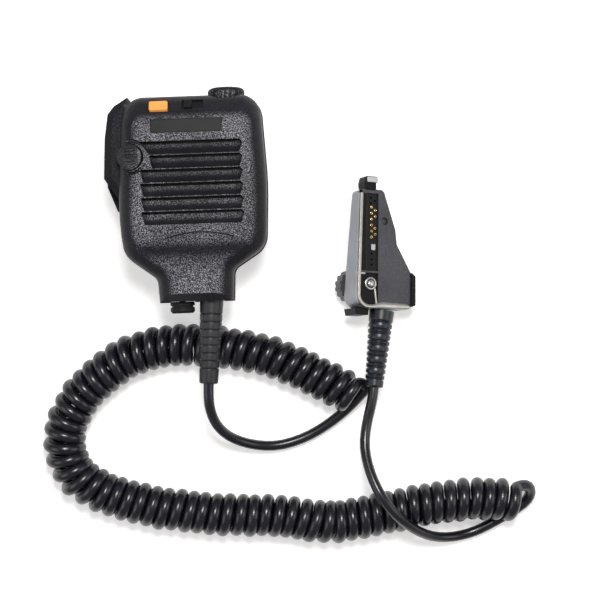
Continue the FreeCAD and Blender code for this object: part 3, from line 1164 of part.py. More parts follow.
hook = new_body("latch_hook", PLUG)
pad(hook, sketch(hook, "XY_Plane", [
    ("-2.6", "dims.plug_long"), ("3", "dims.plug_long"), ("3", "dims.plug_long + 2.6"), ("4", "dims.plug_long + 2.6"),
    ("4", "dims.plug_long + 5.4"), ("-3.6", "dims.plug_long + 5.4"), ("-3.6", "dims.plug_long + 2.6"),
    ("-2.6", "dims.plug_long + 2.6")], lift="-6"), "6.6")
fin = new_body("side_fin", PLUG)
pad(fin, sketch(fin, "XY_Plane", [
    ("dims.plug_right", "-dims.plug_foot + 1"), ("dims.plug_right + 1.7", "-dims.plug_foot + 1.6"),
    ("dims.plug_right + 1.7", "3.6"), ("dims.plug_right", "5")], lift="1 - dims.plug_deep"), "dims.plug_deep")
foot_block = new_body("connector_foot", PLUG)
pad(foot_block, sketch(foot_block, "XY_Plane", [
    ("-dims.plug_left + 0.4", "-dims.plug_foot"), ("-dims.plug_left + 1", "-dims.plug_foot - 2.6"),
    ("0.6", "-dims.plug_foot - 2.6"), ("0.8", "-dims.plug_foot")], lift="-dims.plug_deep + 0.8"), "9.6")

plug_lean = math.radians(d.plug_boot_lean)
plug_boot_start = V(d.plug_boot_x, -d.plug_foot - d.collar_tall / 2, -d.plug_boot_deep)
plug_heading = V(-math.sin(plug_lean), -math.cos(plug_lean), 0)
plug_boot_place = Placement(plug_boot_start, Rotation(V(0, 0, 1), plug_heading))
plug_sleeve = new_body("plug_boot_sleeve", plug_boot_place)
revolve(plug_sleeve, sketch(plug_sleeve, "XZ_Plane", ringed_profile(
    "dims.plug_boot_base", "dims.plug_boot_tip", "dims.plug_boot_long", int(d.plug_boot_rings),
    "dims.plug_ring_pitch", "dims.plug_ring_wide", "dims.plug_ring_deep", "3.4")))
collar = cylinder("plug_boot_collar", "dims.plug_boot_base + 0.3", "dims.collar_tall", "dims.plug_boot_x",
                  "-dims.plug_foot", "-dims.plug_boot_deep", *DOWN_Y)
joined("connector_boot", "Fuse", [plug_sleeve, collar], PLUG)
plug_end = PLUG.multVec(plug_boot_start + plug_heading * d.plug_boot_long)
plug_leave = PLUG.multVec(plug_boot_start + plug_heading * (d.plug_boot_long + d.lead_straight))

bolt = cylinder("thumb_shank_rod", "dims.thumb_shank", "dims.plug_deep + 0.6", "0", "0", "0 - dims.plug_deep - 0.3")
joined("thumb_screw_shank", "Fuse", [bolt, cylinder("thumb_tip", "dims.thumb_tip_round", "dims.thumb_tip_long", "0", "0", "0")], PLUG)
grip = new_body("thumb_screw_knob", PLUG)
pad(grip, sketch(grip, "XY_Plane", circles=[("0", "0", "dims.thumb_round")],
                 lift="-dims.plug_deep - 0.3 - dims.thumb_knob_tall"), "dims.thumb_knob_tall")
notch = pocket(grip, sketch(grip, "XY_Plane", circles=[("0", "dims.thumb_round + 0.5", "1")], lift="-dims.plug_deep"),
               "20")
doc.recompute()
notches = grip.newObject("PartDesign::PolarPattern", "notches")
notches.Originals = [notch]
notches.Axis = (plane(grip, "Z_Axis"), [""])
notches.Angle = 360
notches.Occurrences = 16
grip.Tip = notches

# ---------------------------------------------------------------- cord, lying on the table

lead_mic = [tuple(boot_end), tuple(boot_leave), (5.8, -83.2, 23.8), (7.9, -89.2, 18.6), (12.5, -94.4, 12.0),
            (20.9, -98.2, 6.2), (31.5, -99.5, 3.5), (43.3, -96.2, 2.8), (52.8, -90.8, 3.2), (60.3, -85.0, 4.6),
            (65.3, -79.6, 8.0)]
coil = [(62.3, -79.1, 8.8), (53.8, -74.1, 8.8), (42.8, -68.6, 8.8), (30.3, -62.6, 8.8), (15.8, -58.6, 8.8),
        (1.3, -56.4, 8.8), (-12.2, -56.6, 8.8), (-25.2, -59.6, 8.8), (-37.2, -66.1, 8.8), (-47.2, -75.1, 8.8),
        (-53.7, -86.1, 8.8), (-55.2, -97.6, 8.8), (-50.7, -108.1, 8.8), (-41.2, -115.1, 8.8),
        (-28.2, -119.1, 8.8), (-13.7, -122.4, 8.8), (1.3, -125.1, 8.8), (15.3, -126.4, 8.8), (28.3, -126.6, 8.8),
        (39.8, -128.1, 8.8), (51.3, -130.9, 8.8), (64.3, -128.9, 8.8), (81.8, -125.4, 8.8), (99.3, -123.2, 8.8),
        (113.3, -122.8, 8.8), (125.8, -124.1, 8.8)]
lead_plug = [(122.8, -129.1, 6.2), (117.3, -133.8, 3.4), (109.8, -137.4, 2.3), (100.3, -139.0, 4.0),
             (91.1, -137.1, 10.0), (83.3, -132.0, 18.0), (76.5, -125.4, 24.0), (70.9, -117.2, 24.6),
             (67.3, -108.1, 20.8), (65.9, -98.6, 17.0), (67.6, -89.2, 15.6)]
for spot in (boot_end, boot_leave, plug_leave, plug_end, PLUG.Base):
    print("place %.4f %.4f %.4f" % tuple(spot))
route_tube("cord_lead_mic", lead_mic, d.cord_round)
route_tube("cord_coil", coil, d.coil_round)
route_tube("cord_lead_plug", lead_plug + [tuple(plug_leave), tuple(plug_end)], d.cord_round)

# ---------------------------------------------------------------- check and write

NODES = """front_case rear_case label_plate ptt_lever ptt_pivot_pin ptt_switch orange_button orange_button_rubber
slide_switch_knob slide_switch_plate function_button function_button_rubber volume_knob volume_shaft volume_control
speaker_frame speaker_magnet speaker_cone speaker_screen microphone_sleeve microphone_capsule circuit_board mic_boot
earphone_socket socket_cap case_screws clip_base clip_lever clip_hinge_pin clip_spring clip_screw
connector_shell connector_face connector_edge screw_frame screw_bush contact_block contact_pins ground_contact
latch_hook side_fin connector_foot connector_boot thumb_screw_shank thumb_screw_knob
cord_lead_mic cord_coil cord_lead_plug""".split()

doc.recompute()
for obj in doc.Objects:
    bad = [state for state in obj.State if state in ("Invalid", "Error")]
    if bad:
        raise SystemExit("%s (%s): %s" % (obj.Name, obj.Label, bad))
by_label = {}
for obj in doc.Objects:
    if hasattr(obj, "Shape") and obj.Label in NODES:
        by_label[obj.Label] = obj
os.makedirs("parts", exist_ok=True)
for label in NODES:
    shape = by_label[label].Shape
    if shape.isNull() or not shape.isValid() or not shape.Solids:
        raise SystemExit(label + " has no valid solid")
    print("%-22s solids %d volume %9.1f z %.2f" % (label, len(shape.Solids), shape.Volume, shape.BoundBox.ZMin))
    shape.exportStep("parts/%s.step" % label)
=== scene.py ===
import math
import bmesh
import bpy
import numpy as np
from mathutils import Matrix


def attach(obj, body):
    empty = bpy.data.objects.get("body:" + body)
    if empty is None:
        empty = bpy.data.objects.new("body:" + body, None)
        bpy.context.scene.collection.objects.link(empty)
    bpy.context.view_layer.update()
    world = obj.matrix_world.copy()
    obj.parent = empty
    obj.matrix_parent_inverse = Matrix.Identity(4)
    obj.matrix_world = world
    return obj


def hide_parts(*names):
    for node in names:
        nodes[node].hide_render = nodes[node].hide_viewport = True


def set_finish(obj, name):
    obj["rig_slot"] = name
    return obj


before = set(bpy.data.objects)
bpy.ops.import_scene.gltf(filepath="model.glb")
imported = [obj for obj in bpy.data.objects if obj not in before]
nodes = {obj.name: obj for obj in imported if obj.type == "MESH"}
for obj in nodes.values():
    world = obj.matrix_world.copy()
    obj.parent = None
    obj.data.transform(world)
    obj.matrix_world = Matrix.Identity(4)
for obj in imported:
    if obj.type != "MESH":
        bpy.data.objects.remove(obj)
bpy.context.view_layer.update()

# Hand microphone with a coiled cord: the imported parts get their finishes, and the cord, its boots and
# the connector's shell and fittings are modelled in place of plainer ones. Metres, z up, table at z = 0.

scene = bpy.context.scene
print("frame:", len(nodes), "nodes")


# camera, lamps and table

view = {
    "over": (0.0425, -0.0401),   # the spot that it looks straight down on
    "height": 0.600,
    "turn": -2.0,                # degrees about z
    "wide": 0.246,               # width of table in view
}
camData = bpy.data.cameras.new("camera")
camera = bpy.data.objects.new("camera", camData)
scene.collection.objects.link(camera)
camera.location = (*view["over"], view["height"])
camera.rotation_euler = (0, 0, math.radians(view["turn"]))
camData.angle = 2 * math.atan(view["wide"] / 2 / view["height"])
scene.camera = camera

lamps = {
    # name: place, aimed at, width, watts, colour
    "key": ((0.070, 0.150, 0.620), (0.03, -0.03, 0), 0.15, 3.3, (1.0, 0.99, 0.98)),
    "fillLeft": ((-0.55, -0.15, 0.42), (0, -0.03, 0), 0.45, 1.0, (0.93, 0.96, 1.0)),
    "fillRight": ((0.62, -0.10, 0.40), (0, -0.03, 0), 0.40, 0.9, (1.0, 0.98, 0.96)),
}
for name, (place, target, wide, watts, colour) in lamps.items():
    lampData = bpy.data.lights.new(name, "AREA")
    lampData.shape = "SQUARE"
    lampData.size = wide
    lampData.energy = watts
    lampData.color = colour
    lamp = bpy.data.objects.new(name, lampData)
    scene.collection.objects.link(lamp)
    lamp.location = place
    aim = np.subtract(target, place)
    aim = aim / np.linalg.norm(aim)
    lamp.rotation_euler = (math.acos(-aim[2]), 0, math.atan2(-aim[0], aim[1]) if aim[:2].any() else 0)


def addNode(tree, kind, inputs=None, **settings):
    # a shader node with its settings, and its inputs as values or as links
    node = tree.nodes.new("ShaderNode" + kind)
    for key, value in settings.items():
        setattr(node, key, value)
    for key, value in (inputs or {}).items():
        if isinstance(value, bpy.types.NodeSocket):
            tree.links.new(value, node.inputs[key])
        else:
            node.inputs[key].default_value = value
    return node


def addMath(tree, operation, first, second=0.0, clamp=False):
    return addNode(tree, "Math", {0: first, 1: second}, operation=operation, use_clamp=clamp).outputs[0]


def addRange(tree, value, low, high, toLow=0.0, toHigh=1.0):
    inputs = {"Value": value, "From Min": low, "From Max": high, "To Min": toLow, "To Max": toHigh}
    return addNode(tree, "MapRange", inputs, interpolation_type="SMOOTHSTEP").outputs["Result"]


def blendColour(tree, share, first, second):
    mix = addNode(tree, "Mix", data_type="RGBA")
    for socket, value in ((mix.inputs[0], share), (mix.inputs[6], first), (mix.inputs[7], second)):
        if isinstance(value, bpy.types.NodeSocket):
            tree.links.new(value, socket)
        else:
            socket.default_value = value
    return mix.outputs[2]


table = {
    "half": 1.5,
    "colour": (0.88, 0.85, 0.835, 1),
    "glow": 0.42,                # added where the camera or a reflection sees the table
    "daylight": 0.30,            # light from all round
}


def makeTable():
    mesh = bpy.data.meshes.new("table")
    half = table["half"]
    corners = [(-half, -half, 0), (half, -half, 0), (half, half, 0), (-half, half, 0)]
    mesh.from_pydata(corners, [], [(0, 1, 2, 3)])
    floor = bpy.data.objects.new("table", mesh)
    scene.collection.objects.link(floor)
    material = bpy.data.materials.new("tableTop")
    material.use_nodes = True
    tree = material.node_tree
    tree.nodes.clear()
    path = addNode(tree, "LightPath")
    seen = addMath(tree, "MAXIMUM", path.outputs["Is Camera Ray"], path.outputs["Is Glossy Ray"])
    seen = addMath(tree, "MAXIMUM", seen, path.outputs["Is Transmission Ray"])
    glow = addNode(tree, "Emission", {"Strength": addMath(tree, "MULTIPLY", seen, table["glow"])})
    paint = addNode(tree, "BsdfDiffuse", {"Color": table["colour"]})
    both = addNode(tree, "AddShader", {0: paint.outputs[0], 1: glow.outputs[0]})
    addNode(tree, "OutputMaterial", {"Surface": both.outputs[0]})
    mesh.materials.append(material)


def makeDaylight():
    world = bpy.data.worlds.new("daylight")
    world.use_nodes = True
    tree = world.node_tree
    tree.nodes.clear()
    path = addNode(tree, "LightPath")
    strength = addRange(tree, path.outputs["Is Camera Ray"], 0, 1, table["daylight"], 1.0)
    sky = addNode(tree, "Background", {"Color": (1, 1, 1, 1), "Strength": strength})
    addNode(tree, "OutputWorld", {"Surface": sky.outputs[0]})
    scene.world = world


makeTable()
makeDaylight()
scene.view_settings.view_transform = "Standard"
print("stage: camera, lamps and table")


# the cord: lead, coil and second lead are one spline

cord = {
    "radius": 0.00205,           # of the leads
    "coilRadius": 0.00880,       # outer radius of the coil
    "coilSwell": 1.22,           # the jacket is thicker where it is coiled
    "perTurn": 16,               # points on each turn
    "pitchFirst": 0.0053,        # the turns lie wider apart by the microphone
    "pitchLast": 0.0050,
    "startAngle": 152.0,         # degrees: where the first lead joins the first turn
    "lastAngle": 20.0,           # where the last turn opens into the second lead
    "uneven": 0.045,             # share by which pitch and radius wander
    "lean": 0.10,                # how far the turns lean along the coil
    "leanUneven": 0.6,           # the wandering part of that lean
    "sway": 0.0005,              # how far the coil's middle strays to the side
    "clear": 0.0001,             # gap between the coil and the table
    "seeds": {"pitch": 4, "radius": 9, "sway": 21, "lean": 33},
}
leadMic = [
    (0.0055621, -0.0716181, 0.0260), (0.0051688, -0.077104, 0.0260), (0.0058, -0.0832, 0.0238),
    (0.0079, -0.0892, 0.0186), (0.0125, -0.0944, 0.0120), (0.0209, -0.0982, 0.0062),
    (0.0315, -0.0995, 0.0035), (0.0433, -0.0962, 0.0028), (0.0528, -0.0908, 0.0032),
    (0.0603, -0.0850, 0.0046), (0.0653, -0.0796, 0.0080),
]
coilRoute = [
    (0.0623, -0.0791, 0.0088), (0.0538, -0.0741, 0.0088), (0.0428, -0.0686, 0.0088),
    (0.0303, -0.0626, 0.0088), (0.0158, -0.0586, 0.0088), (0.0013, -0.0564, 0.0088),
    (-0.0122, -0.0566, 0.0088), (-0.0252, -0.0596, 0.0088), (-0.0372, -0.0661, 0.0088),
    (-0.0472, -0.0751, 0.0088), (-0.0537, -0.0861, 0.0088), (-0.0552, -0.0976, 0.0088),
    (-0.0507, -0.1081, 0.0088), (-0.0412, -0.1151, 0.0088), (-0.0282, -0.1191, 0.0088),
    (-0.0137, -0.1224, 0.0088), (0.0013, -0.1251, 0.0088), (0.0153, -0.1264, 0.0088),
    (0.0283, -0.1266, 0.0088), (0.0398, -0.1281, 0.0088), (0.0513, -0.1309, 0.0088),
    (0.0643, -0.1289, 0.0088), (0.0818, -0.1254, 0.0088), (0.0993, -0.1232, 0.0088),
    (0.1133, -0.1228, 0.0088), (0.1258, -0.1241, 0.0088),
]
leadPlug = [
    (0.1228, -0.1291, 0.0062), (0.1173, -0.1338, 0.0034), (0.1098, -0.1374, 0.0023),
    (0.1003, -0.1390, 0.0040), (0.0911, -0.1371, 0.0100), (0.0833, -0.1320, 0.0180),
    (0.0765, -0.1254, 0.0240), (0.0709, -0.1172, 0.0246), (0.0673, -0.1081, 0.0208),
    (0.0659, -0.0986, 0.0170), (0.0676, -0.0892, 0.0156), (0.0699827, -0.0813449, 0.0163156),
    (0.0707672, -0.0759434, 0.0156387),
]
joinFirst = [(0.0689, -0.0758, 0.0110)]     # the lead turns back over the end of the coil
joinLast = [(0.1321, -0.1178, 0.0082), (0.1339, -0.1220, 0.0044), (0.1307, -0.1268, 0.0026)]


def newSpline(name, points):
    curve = bpy.data.curves.new(name, "CURVE")
    curve.dimensions = "3D"
    spline = curve.splines.new("NURBS")
    spline.points.add(len(points) - 1)
    spline.points.foreach_set("co", np.hstack([points, np.ones((len(points), 1))]).ravel())
    spline.order_u = 3
    spline.use_endpoint_u = True
    return curve


def readSpline(name, points):
    # the points of a bare spline, and how far along it each one lies
    curve = newSpline(name, points)
    curve.resolution_u = 24
    holder = bpy.data.objects.new(name, curve)
    mesh = bpy.data.meshes.new_from_object(holder)
    line = np.empty(len(mesh.vertices) * 3)
    mesh.vertices.foreach_get("co", line)
    line = line.reshape(-1, 3)
    bpy.data.meshes.remove(mesh)
    bpy.data.curves.remove(curve)
    steps = np.linalg.norm(np.diff(line, axis=0), axis=1)
    return line, np.concatenate([[0.0], np.cumsum(steps)])


def wander(along, seed):
    # smooth unevenness: a sum of five sines of different lengths, between about -1 and 1
    random = np.random.default_rng(seed)
    lengths = np.array([0.012, 0.019, 0.031, 0.052, 0.090])
    phases = random.uniform(0, 2 * np.pi, len(lengths))
    heights = random.uniform(0.6, 1.0, len(lengths)) / 3.4
    return (heights * np.sin(2 * np.pi * along[:, None] / lengths + phases)).sum(axis=1)


def coilTurns():
    # centre + r * (cos(angle) * side + sin(angle) * up) + lean * sin(angle) * ahead, and the angle
    # falls by a full turn for each pitch along the route
    seeds, uneven = cord["seeds"], cord["uneven"]
    line, along = readSpline("coilRoute", np.array(coilRoute))
    fine = np.linspace(0, along[-1], 4000)
    pitch = cord["pitchFirst"] + (cord["pitchLast"] - cord["pitchFirst"]) * (fine / fine[-1])
    pitch = pitch * (1 + uneven * wander(fine, seeds["pitch"]))
    turns = np.concatenate([[0.0], np.cumsum(np.diff(fine) / (pitch[1:] + pitch[:-1]) * 2)])
    spare = (cord["startAngle"] - cord["lastAngle"]) / 360
    whole = round(turns[-1] - spare) + spare
    turns = turns * whole / turns[-1]
    count = round(whole * cord["perTurn"])
    turnsDone = np.linspace(0, whole, count + 1)
    at = np.interp(turnsDone, turns, fine)
    centre = np.stack([np.interp(at, along, line[:, k]) for k in range(3)], axis=1)
    # the route's level heading, read over a millimetre
    reach = 0.0005
    ahead = np.stack([np.interp(at + reach, along, line[:, k]) - np.interp(at - reach, along, line[:, k])
                      for k in range(2)] + [0 * at], axis=1)
    ahead = ahead / np.linalg.norm(ahead, axis=1, keepdims=True)
    side = np.stack([-ahead[:, 1], ahead[:, 0], 0 * at], axis=1)
    shrink = math.cos(math.pi / cord["perTurn"])     # the spline runs inside its points
    thick = cord["radius"] * cord["coilSwell"]
    radius = (cord["coilRadius"] - thick) * (1 - uneven * 0.5 * (1 + wander(at, seeds["radius"])))
    angle = np.radians(cord["startAngle"]) - 2 * np.pi * turnsDone
    sway = cord["sway"] * wander(at, seeds["sway"])
    centre = centre + side * sway[:, None]
    centre[:, 2] = radius + thick + cord["clear"]
    out = (radius / shrink)[:, None]
    points = centre + out * (np.cos(angle)[:, None] * side + np.sin(angle)[:, None] * (0, 0, 1))
    lean = cord["lean"] * out[:, 0] * (np.sin(angle) + cord["leanUneven"] * wander(at, seeds["lean"]))
    points = points + lean[:, None] * ahead
    print("coil:", round(whole, 1), "turns,", count, "points")
    return points


def makeCord():
    turns = coilTurns()
    points = np.concatenate([leadMic, joinFirst, turns, joinLast, leadPlug[1:]])
    curve = newSpline("cord", points)
    # swell: 1 on the leads, the coil's value on the coil, with half a turn to change over
    place = np.arange(len(points))
    first = len(leadMic) + len(joinFirst)
    last = first + len(turns)
    change = cord["perTurn"] / 2
    inside = np.minimum(place - first + change / 2, last + change / 2 - place) / change
    swell = 1 + (cord["coilSwell"] - 1) * np.clip(inside, 0, 1)
    # each point carries the real radius, so the depth is 1 and the curve's box is right
    curve.splines[0].points.foreach_set("radius", cord["radius"] * swell)
    curve.resolution_u = 3
    curve.bevel_depth = 1.0
    curve.bevel_resolution = 5
    curve.use_fill_caps = True
    piece = bpy.data.objects.new("cord", curve)
    scene.collection.objects.link(piece)
    along = readSpline("cordLine", points)[1]
    print("cord:", len(points), "points,", round(float(along[-1]), 3), "m")
    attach(piece, "microphone")
    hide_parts("cord_lead_mic", "cord_coil", "cord_lead_plug")
    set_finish(piece, "cord_jacket")
    return piece


# surfaces made from arrays


def newPiece(name, grids, slot, caps=(), sharp=40, body="microphone"):
    # grids[k][row, column] are points; the columns close to a ring, and caps names the rows to fill
    vertices, faces = [], []
    for grid in grids:
        rows, columns = grid.shape[:2]
        index = sum(map(len, vertices)) + np.arange(rows * columns).reshape(rows, columns)
        beside = np.roll(index, -1, axis=1)
        quads = np.stack([index[:-1], beside[:-1], beside[1:], index[1:]], axis=-1)
        faces += quads.reshape(-1, 4).tolist() + [index[row].tolist() for row in caps]
        vertices.append(grid.reshape(-1, 3))
    mesh = bpy.data.meshes.new(name)
    mesh.from_pydata(np.concatenate(vertices).tolist(), [], faces)
    mesh.polygons.foreach_set("use_smooth", np.ones(len(faces), dtype=bool))
    mesh.set_sharp_from_angle(angle=math.radians(sharp))
    outward = bmesh.new()
    outward.from_mesh(mesh)
    bmesh.ops.recalc_face_normals(outward, faces=outward.faces)
    outward.to_mesh(mesh)
    outward.free()
    piece = bpy.data.objects.new(name, mesh)
    scene.collection.objects.link(piece)
    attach(piece, body)
    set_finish(piece, slot)
    return piece


def roundedOutline(corners, fine):
    # corners (x, y, radius) in turn: each becomes an arc of so many points that touches both its sides
    spots = np.array(corners, float)
    at, radius = spots[:, :2], spots[:, 2]
    back = np.roll(at, 1, axis=0) - at
    forth = np.roll(at, -1, axis=0) - at
    back /= np.linalg.norm(back, axis=1, keepdims=True)
    forth /= np.linalg.norm(forth, axis=1, keepdims=True)
    half = np.arccos(np.clip((back * forth).sum(axis=1), -1, 1)) / 2
    inward = back + forth
    inward /= np.linalg.norm(inward, axis=1, keepdims=True)
    centre = at + inward * (radius / np.sin(half))[:, None]
    start = at + back * (radius / np.tan(half))[:, None] - centre
    end = at + forth * (radius / np.tan(half))[:, None] - centre
    share = np.linspace(0, 1, fine)[None, :, None]
    spread = np.pi - 2 * half
    weight = np.sin(spread)[:, None, None]
    first = np.sin((1 - share) * spread[:, None, None]) / weight
    last = np.sin(share * spread[:, None, None]) / weight
    return (centre[:, None] + first * start[:, None] + last * end[:, None]).reshape(-1, 2)


def insetOutline(outline, depth):
    # every point moved to the inner side, square to the line through its neighbours
    run = np.roll(outline, -1, axis=0) - np.roll(outline, 1, axis=0)
    run /= np.linalg.norm(run, axis=1, keepdims=True)
    inner = np.stack([-run[:, 1], run[:, 0]], axis=1)
    return outline + inner * np.asarray(depth).reshape(-1, 1)


def turned(profile, sides=48):
    # profile (radius, height) carried round the z axis
    angle = np.linspace(0, 2 * np.pi, sides, endpoint=False)
    profile = np.array(profile, float)
    ring = np.stack([np.cos(angle), np.sin(angle)], axis=1)
    flat = profile[:, None, :1] * ring[None]
    return np.concatenate([flat, np.broadcast_to(profile[:, None, 1:], (*flat.shape[:2], 1))], axis=2)


# cord boots: tapered sleeves with moulded grooves

boots = {
    # metres; wide, deep: one groove; skew: how far it runs aslant; swell: bulge between two grooves
    "micBoot": {
        "node": "mic_boot", "slot": "boot_rubber",
        "long": 0.0332, "foot": 0.0047, "tip": 0.0037,
        "grooves": 8, "first": 0.0058, "pitch": 0.00305,
        "wide": 0.00018, "deep": 0.00036, "skew": 0.0, "swell": 0.00002,
    },
    "plugBoot": {
        "node": "connector_boot", "slot": "plug_boot_rubber",
        "long": 0.0308, "foot": 0.0051, "tip": 0.0036,
        "grooves": 11, "first": 0.0050, "pitch": 0.00228,
        "wide": 0.00034, "deep": 0.00060, "skew": 0.0005, "swell": 0.00010,
    },
}
bootShape = {"taper": 0.9, "rim": 0.0007, "rows": 260, "sides": 72}


def makeBoot(name, end, leave):
    # radius = taper + swell of each segment - one narrow bell curve for each groove
    look = boots[name]
    end, leave = np.array(end), np.array(leave)
    heading = (leave - end) / np.linalg.norm(leave - end)
    side = np.cross(heading, (0, 0, 1))
    side /= np.linalg.norm(side)
    up = np.cross(side, heading)
    height = np.linspace(0, look["long"], bootShape["rows"])[:, None]
    angle = np.linspace(0, 2 * np.pi, bootShape["sides"], endpoint=False)[None]
    taper = (height / look["long"]) ** bootShape["taper"]
    radius = look["foot"] + (look["tip"] - look["foot"]) * taper + 0 * angle
    grooves = look["first"] + look["pitch"] * np.arange(look["grooves"])
    for number, middle in enumerate(grooves):
        off = height - middle - look["skew"] * np.sin(angle) * (1 if number % 2 else -1)
        radius -= look["deep"] * np.exp(-(off / look["wide"]) ** 2)
    ringed = (height > grooves[0]) & (height < grooves[-1])
    radius += look["swell"] * ringed * np.sin(np.pi * (height - grooves[0]) / look["pitch"]) ** 2
    rim = bootShape["rim"]
    rounding = np.clip((height - look["long"] + rim) / rim, 0, 1)
    radius -= rim * (1 - np.sqrt(1 - rounding ** 2))
    foot = end - heading * look["long"]
    grid = (foot + height[..., None] * heading + (radius * np.cos(angle))[..., None] * side
            + (radius * np.sin(angle))[..., None] * up)
    piece = newPiece(name, [grid], look["slot"], caps=(0, -1), sharp=60)
    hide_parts(look["node"])
    return piece


bootPieces = [makeBoot("micBoot", leadMic[0], leadMic[1]),
              makeBoot("plugBoot", leadPlug[-1], leadPlug[-2])]
print("boots:", len(bootPieces))


# connector: shell with a round corner, bright trim, screw frame, hook and contacts

plug = {
    "at": (0.0707, -0.0345, 0.0200053),   # its screw, on the face
    "turn": (-5.0, 24.0, -4.6),           # degrees about x, then y, then z
    # the rest is in millimetres from the screw; x, y and corner radius of the shell
    "outline": [(-5.9, -9.7, 5.2), (18, -9.7, 1.2), (18, 5, 1.6), (11.6, 16.2, 7), (11, 21.8, 6),
                (5.7, 37.7, 1.3), (-4.7, 37.7, 1.6)],
    "front": -1.6,
    "back": (-13.5, -8.6),                # depth at the lower end and at the top
    "slope": (9.0, 38.7),                 # y where the back starts and ends to rise
    "round": 1.8,
    "hub": 0.02,                          # share of the back's outline that its last ring keeps
}


def plugSpace(points):
    # from the connector's own millimetres to the frame
    a, b, c = np.radians(plug["turn"])
    aboutX = np.array([[1, 0, 0], [0, np.cos(a), -np.sin(a)], [0, np.sin(a), np.cos(a)]])
    aboutY = np.array([[np.cos(b), 0, np.sin(b)], [0, 1, 0], [-np.sin(b), 0, np.cos(b)]])
    aboutZ = np.array([[np.cos(c), -np.sin(c), 0], [np.sin(c), np.cos(c), 0], [0, 0, 1]])
    return points / 1000 @ (aboutZ @ aboutY @ aboutX).T + plug["at"]


def plugBack(y):
    return np.interp(y, plug["slope"], plug["back"])


def lift(outline, height):
    # the outline at one height, or with a height for each point
    heights = np.broadcast_to(np.reshape(height, (-1, 1)), (len(outline), 1))
    return np.concatenate([outline, heights], axis=1)


def makePlugShell():
    # the outline carried back, with a quarter-round edge, and closed by shrinking rings
    outline = roundedOutline(plug["outline"], 12)
    back = plugBack(outline[:, 1])
    front, edge = plug["front"], plug["round"]
    rings = [lift(outline, front + (back + edge - front) * share) for share in np.linspace(0, 1, 12)]
    for angle in np.linspace(0, np.pi / 2, 8)[1:]:
        inset, rise = edge * (1 - np.cos(angle)), edge * (1 - np.sin(angle))
        rings.append(lift(insetOutline(outline, inset), back + rise))
    last = insetOutline(outline, edge)
    middle = last.mean(axis=0)
    for share in np.linspace(1, plug["hub"], 8)[1:]:
        ring = middle + (last - middle) * share
        rings.append(lift(ring, plugBack(ring[:, 1])))
    piece = newPiece("plugShell", [plugSpace(np.array(rings))], "plug_metal", caps=(-1,))
    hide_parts("connector_shell")
    return piece


trim = {
    "farCorner": (18, 37.7, 1.2),         # closes the outline where no bead runs
    "corner": 14,                         # points on each corner
    "steps": 90,
    "wideAt": [-5.9, 1.0, 5.0, 17.0],     # x along the lower edge, and the bead's width there
    "wide": [1.3, 1.3, 2.4, 2.1],
    # share of the width, height
    "section": [(0, -1.7), (0, 0.0), (0.12, 0.22), (0.5, 0.3), (0.88, 0.22), (1, 0.05), (1, -1.7)],
}


def makeTrim():
    # a bright bead that follows the left edge, the round corner and the lower edge; it widens below
    lowLeft, lowRight, *_, topLeft = plug["outline"]
    outline = roundedOutline([topLeft, lowLeft, lowRight, trim["farCorner"]], trim["corner"])
    run = outline[trim["corner"] - 1:3 * trim["corner"]]
    steps = np.concatenate([[0], np.cumsum(np.linalg.norm(np.diff(run, axis=0), axis=1))])
    share = np.linspace(0, 1, trim["steps"])
    path = np.stack([np.interp(share, steps / steps[-1], run[:, k]) for k in (0, 1)], axis=1)
    ahead = np.gradient(path, axis=0)
    ahead /= np.linalg.norm(ahead, axis=1, keepdims=True)
    inner = np.stack([-ahead[:, 1], ahead[:, 0]], axis=1)
    wide = np.interp(path[:, 0], trim["wideAt"], trim["wide"])
    section = np.array(trim["section"])
    across = section[None, :, :1] * wide[:, None, None] * inner[:, None]
    height = np.broadcast_to(section[None, :, 1:], (len(path), len(section), 1))
    grid = np.concatenate([path[:, None] + across, height], axis=2)
    piece = newPiece("plugTrim", [plugSpace(grid)], "bright_metal", caps=(0, -1))
    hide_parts("connector_edge", "screw_frame")
    return piece


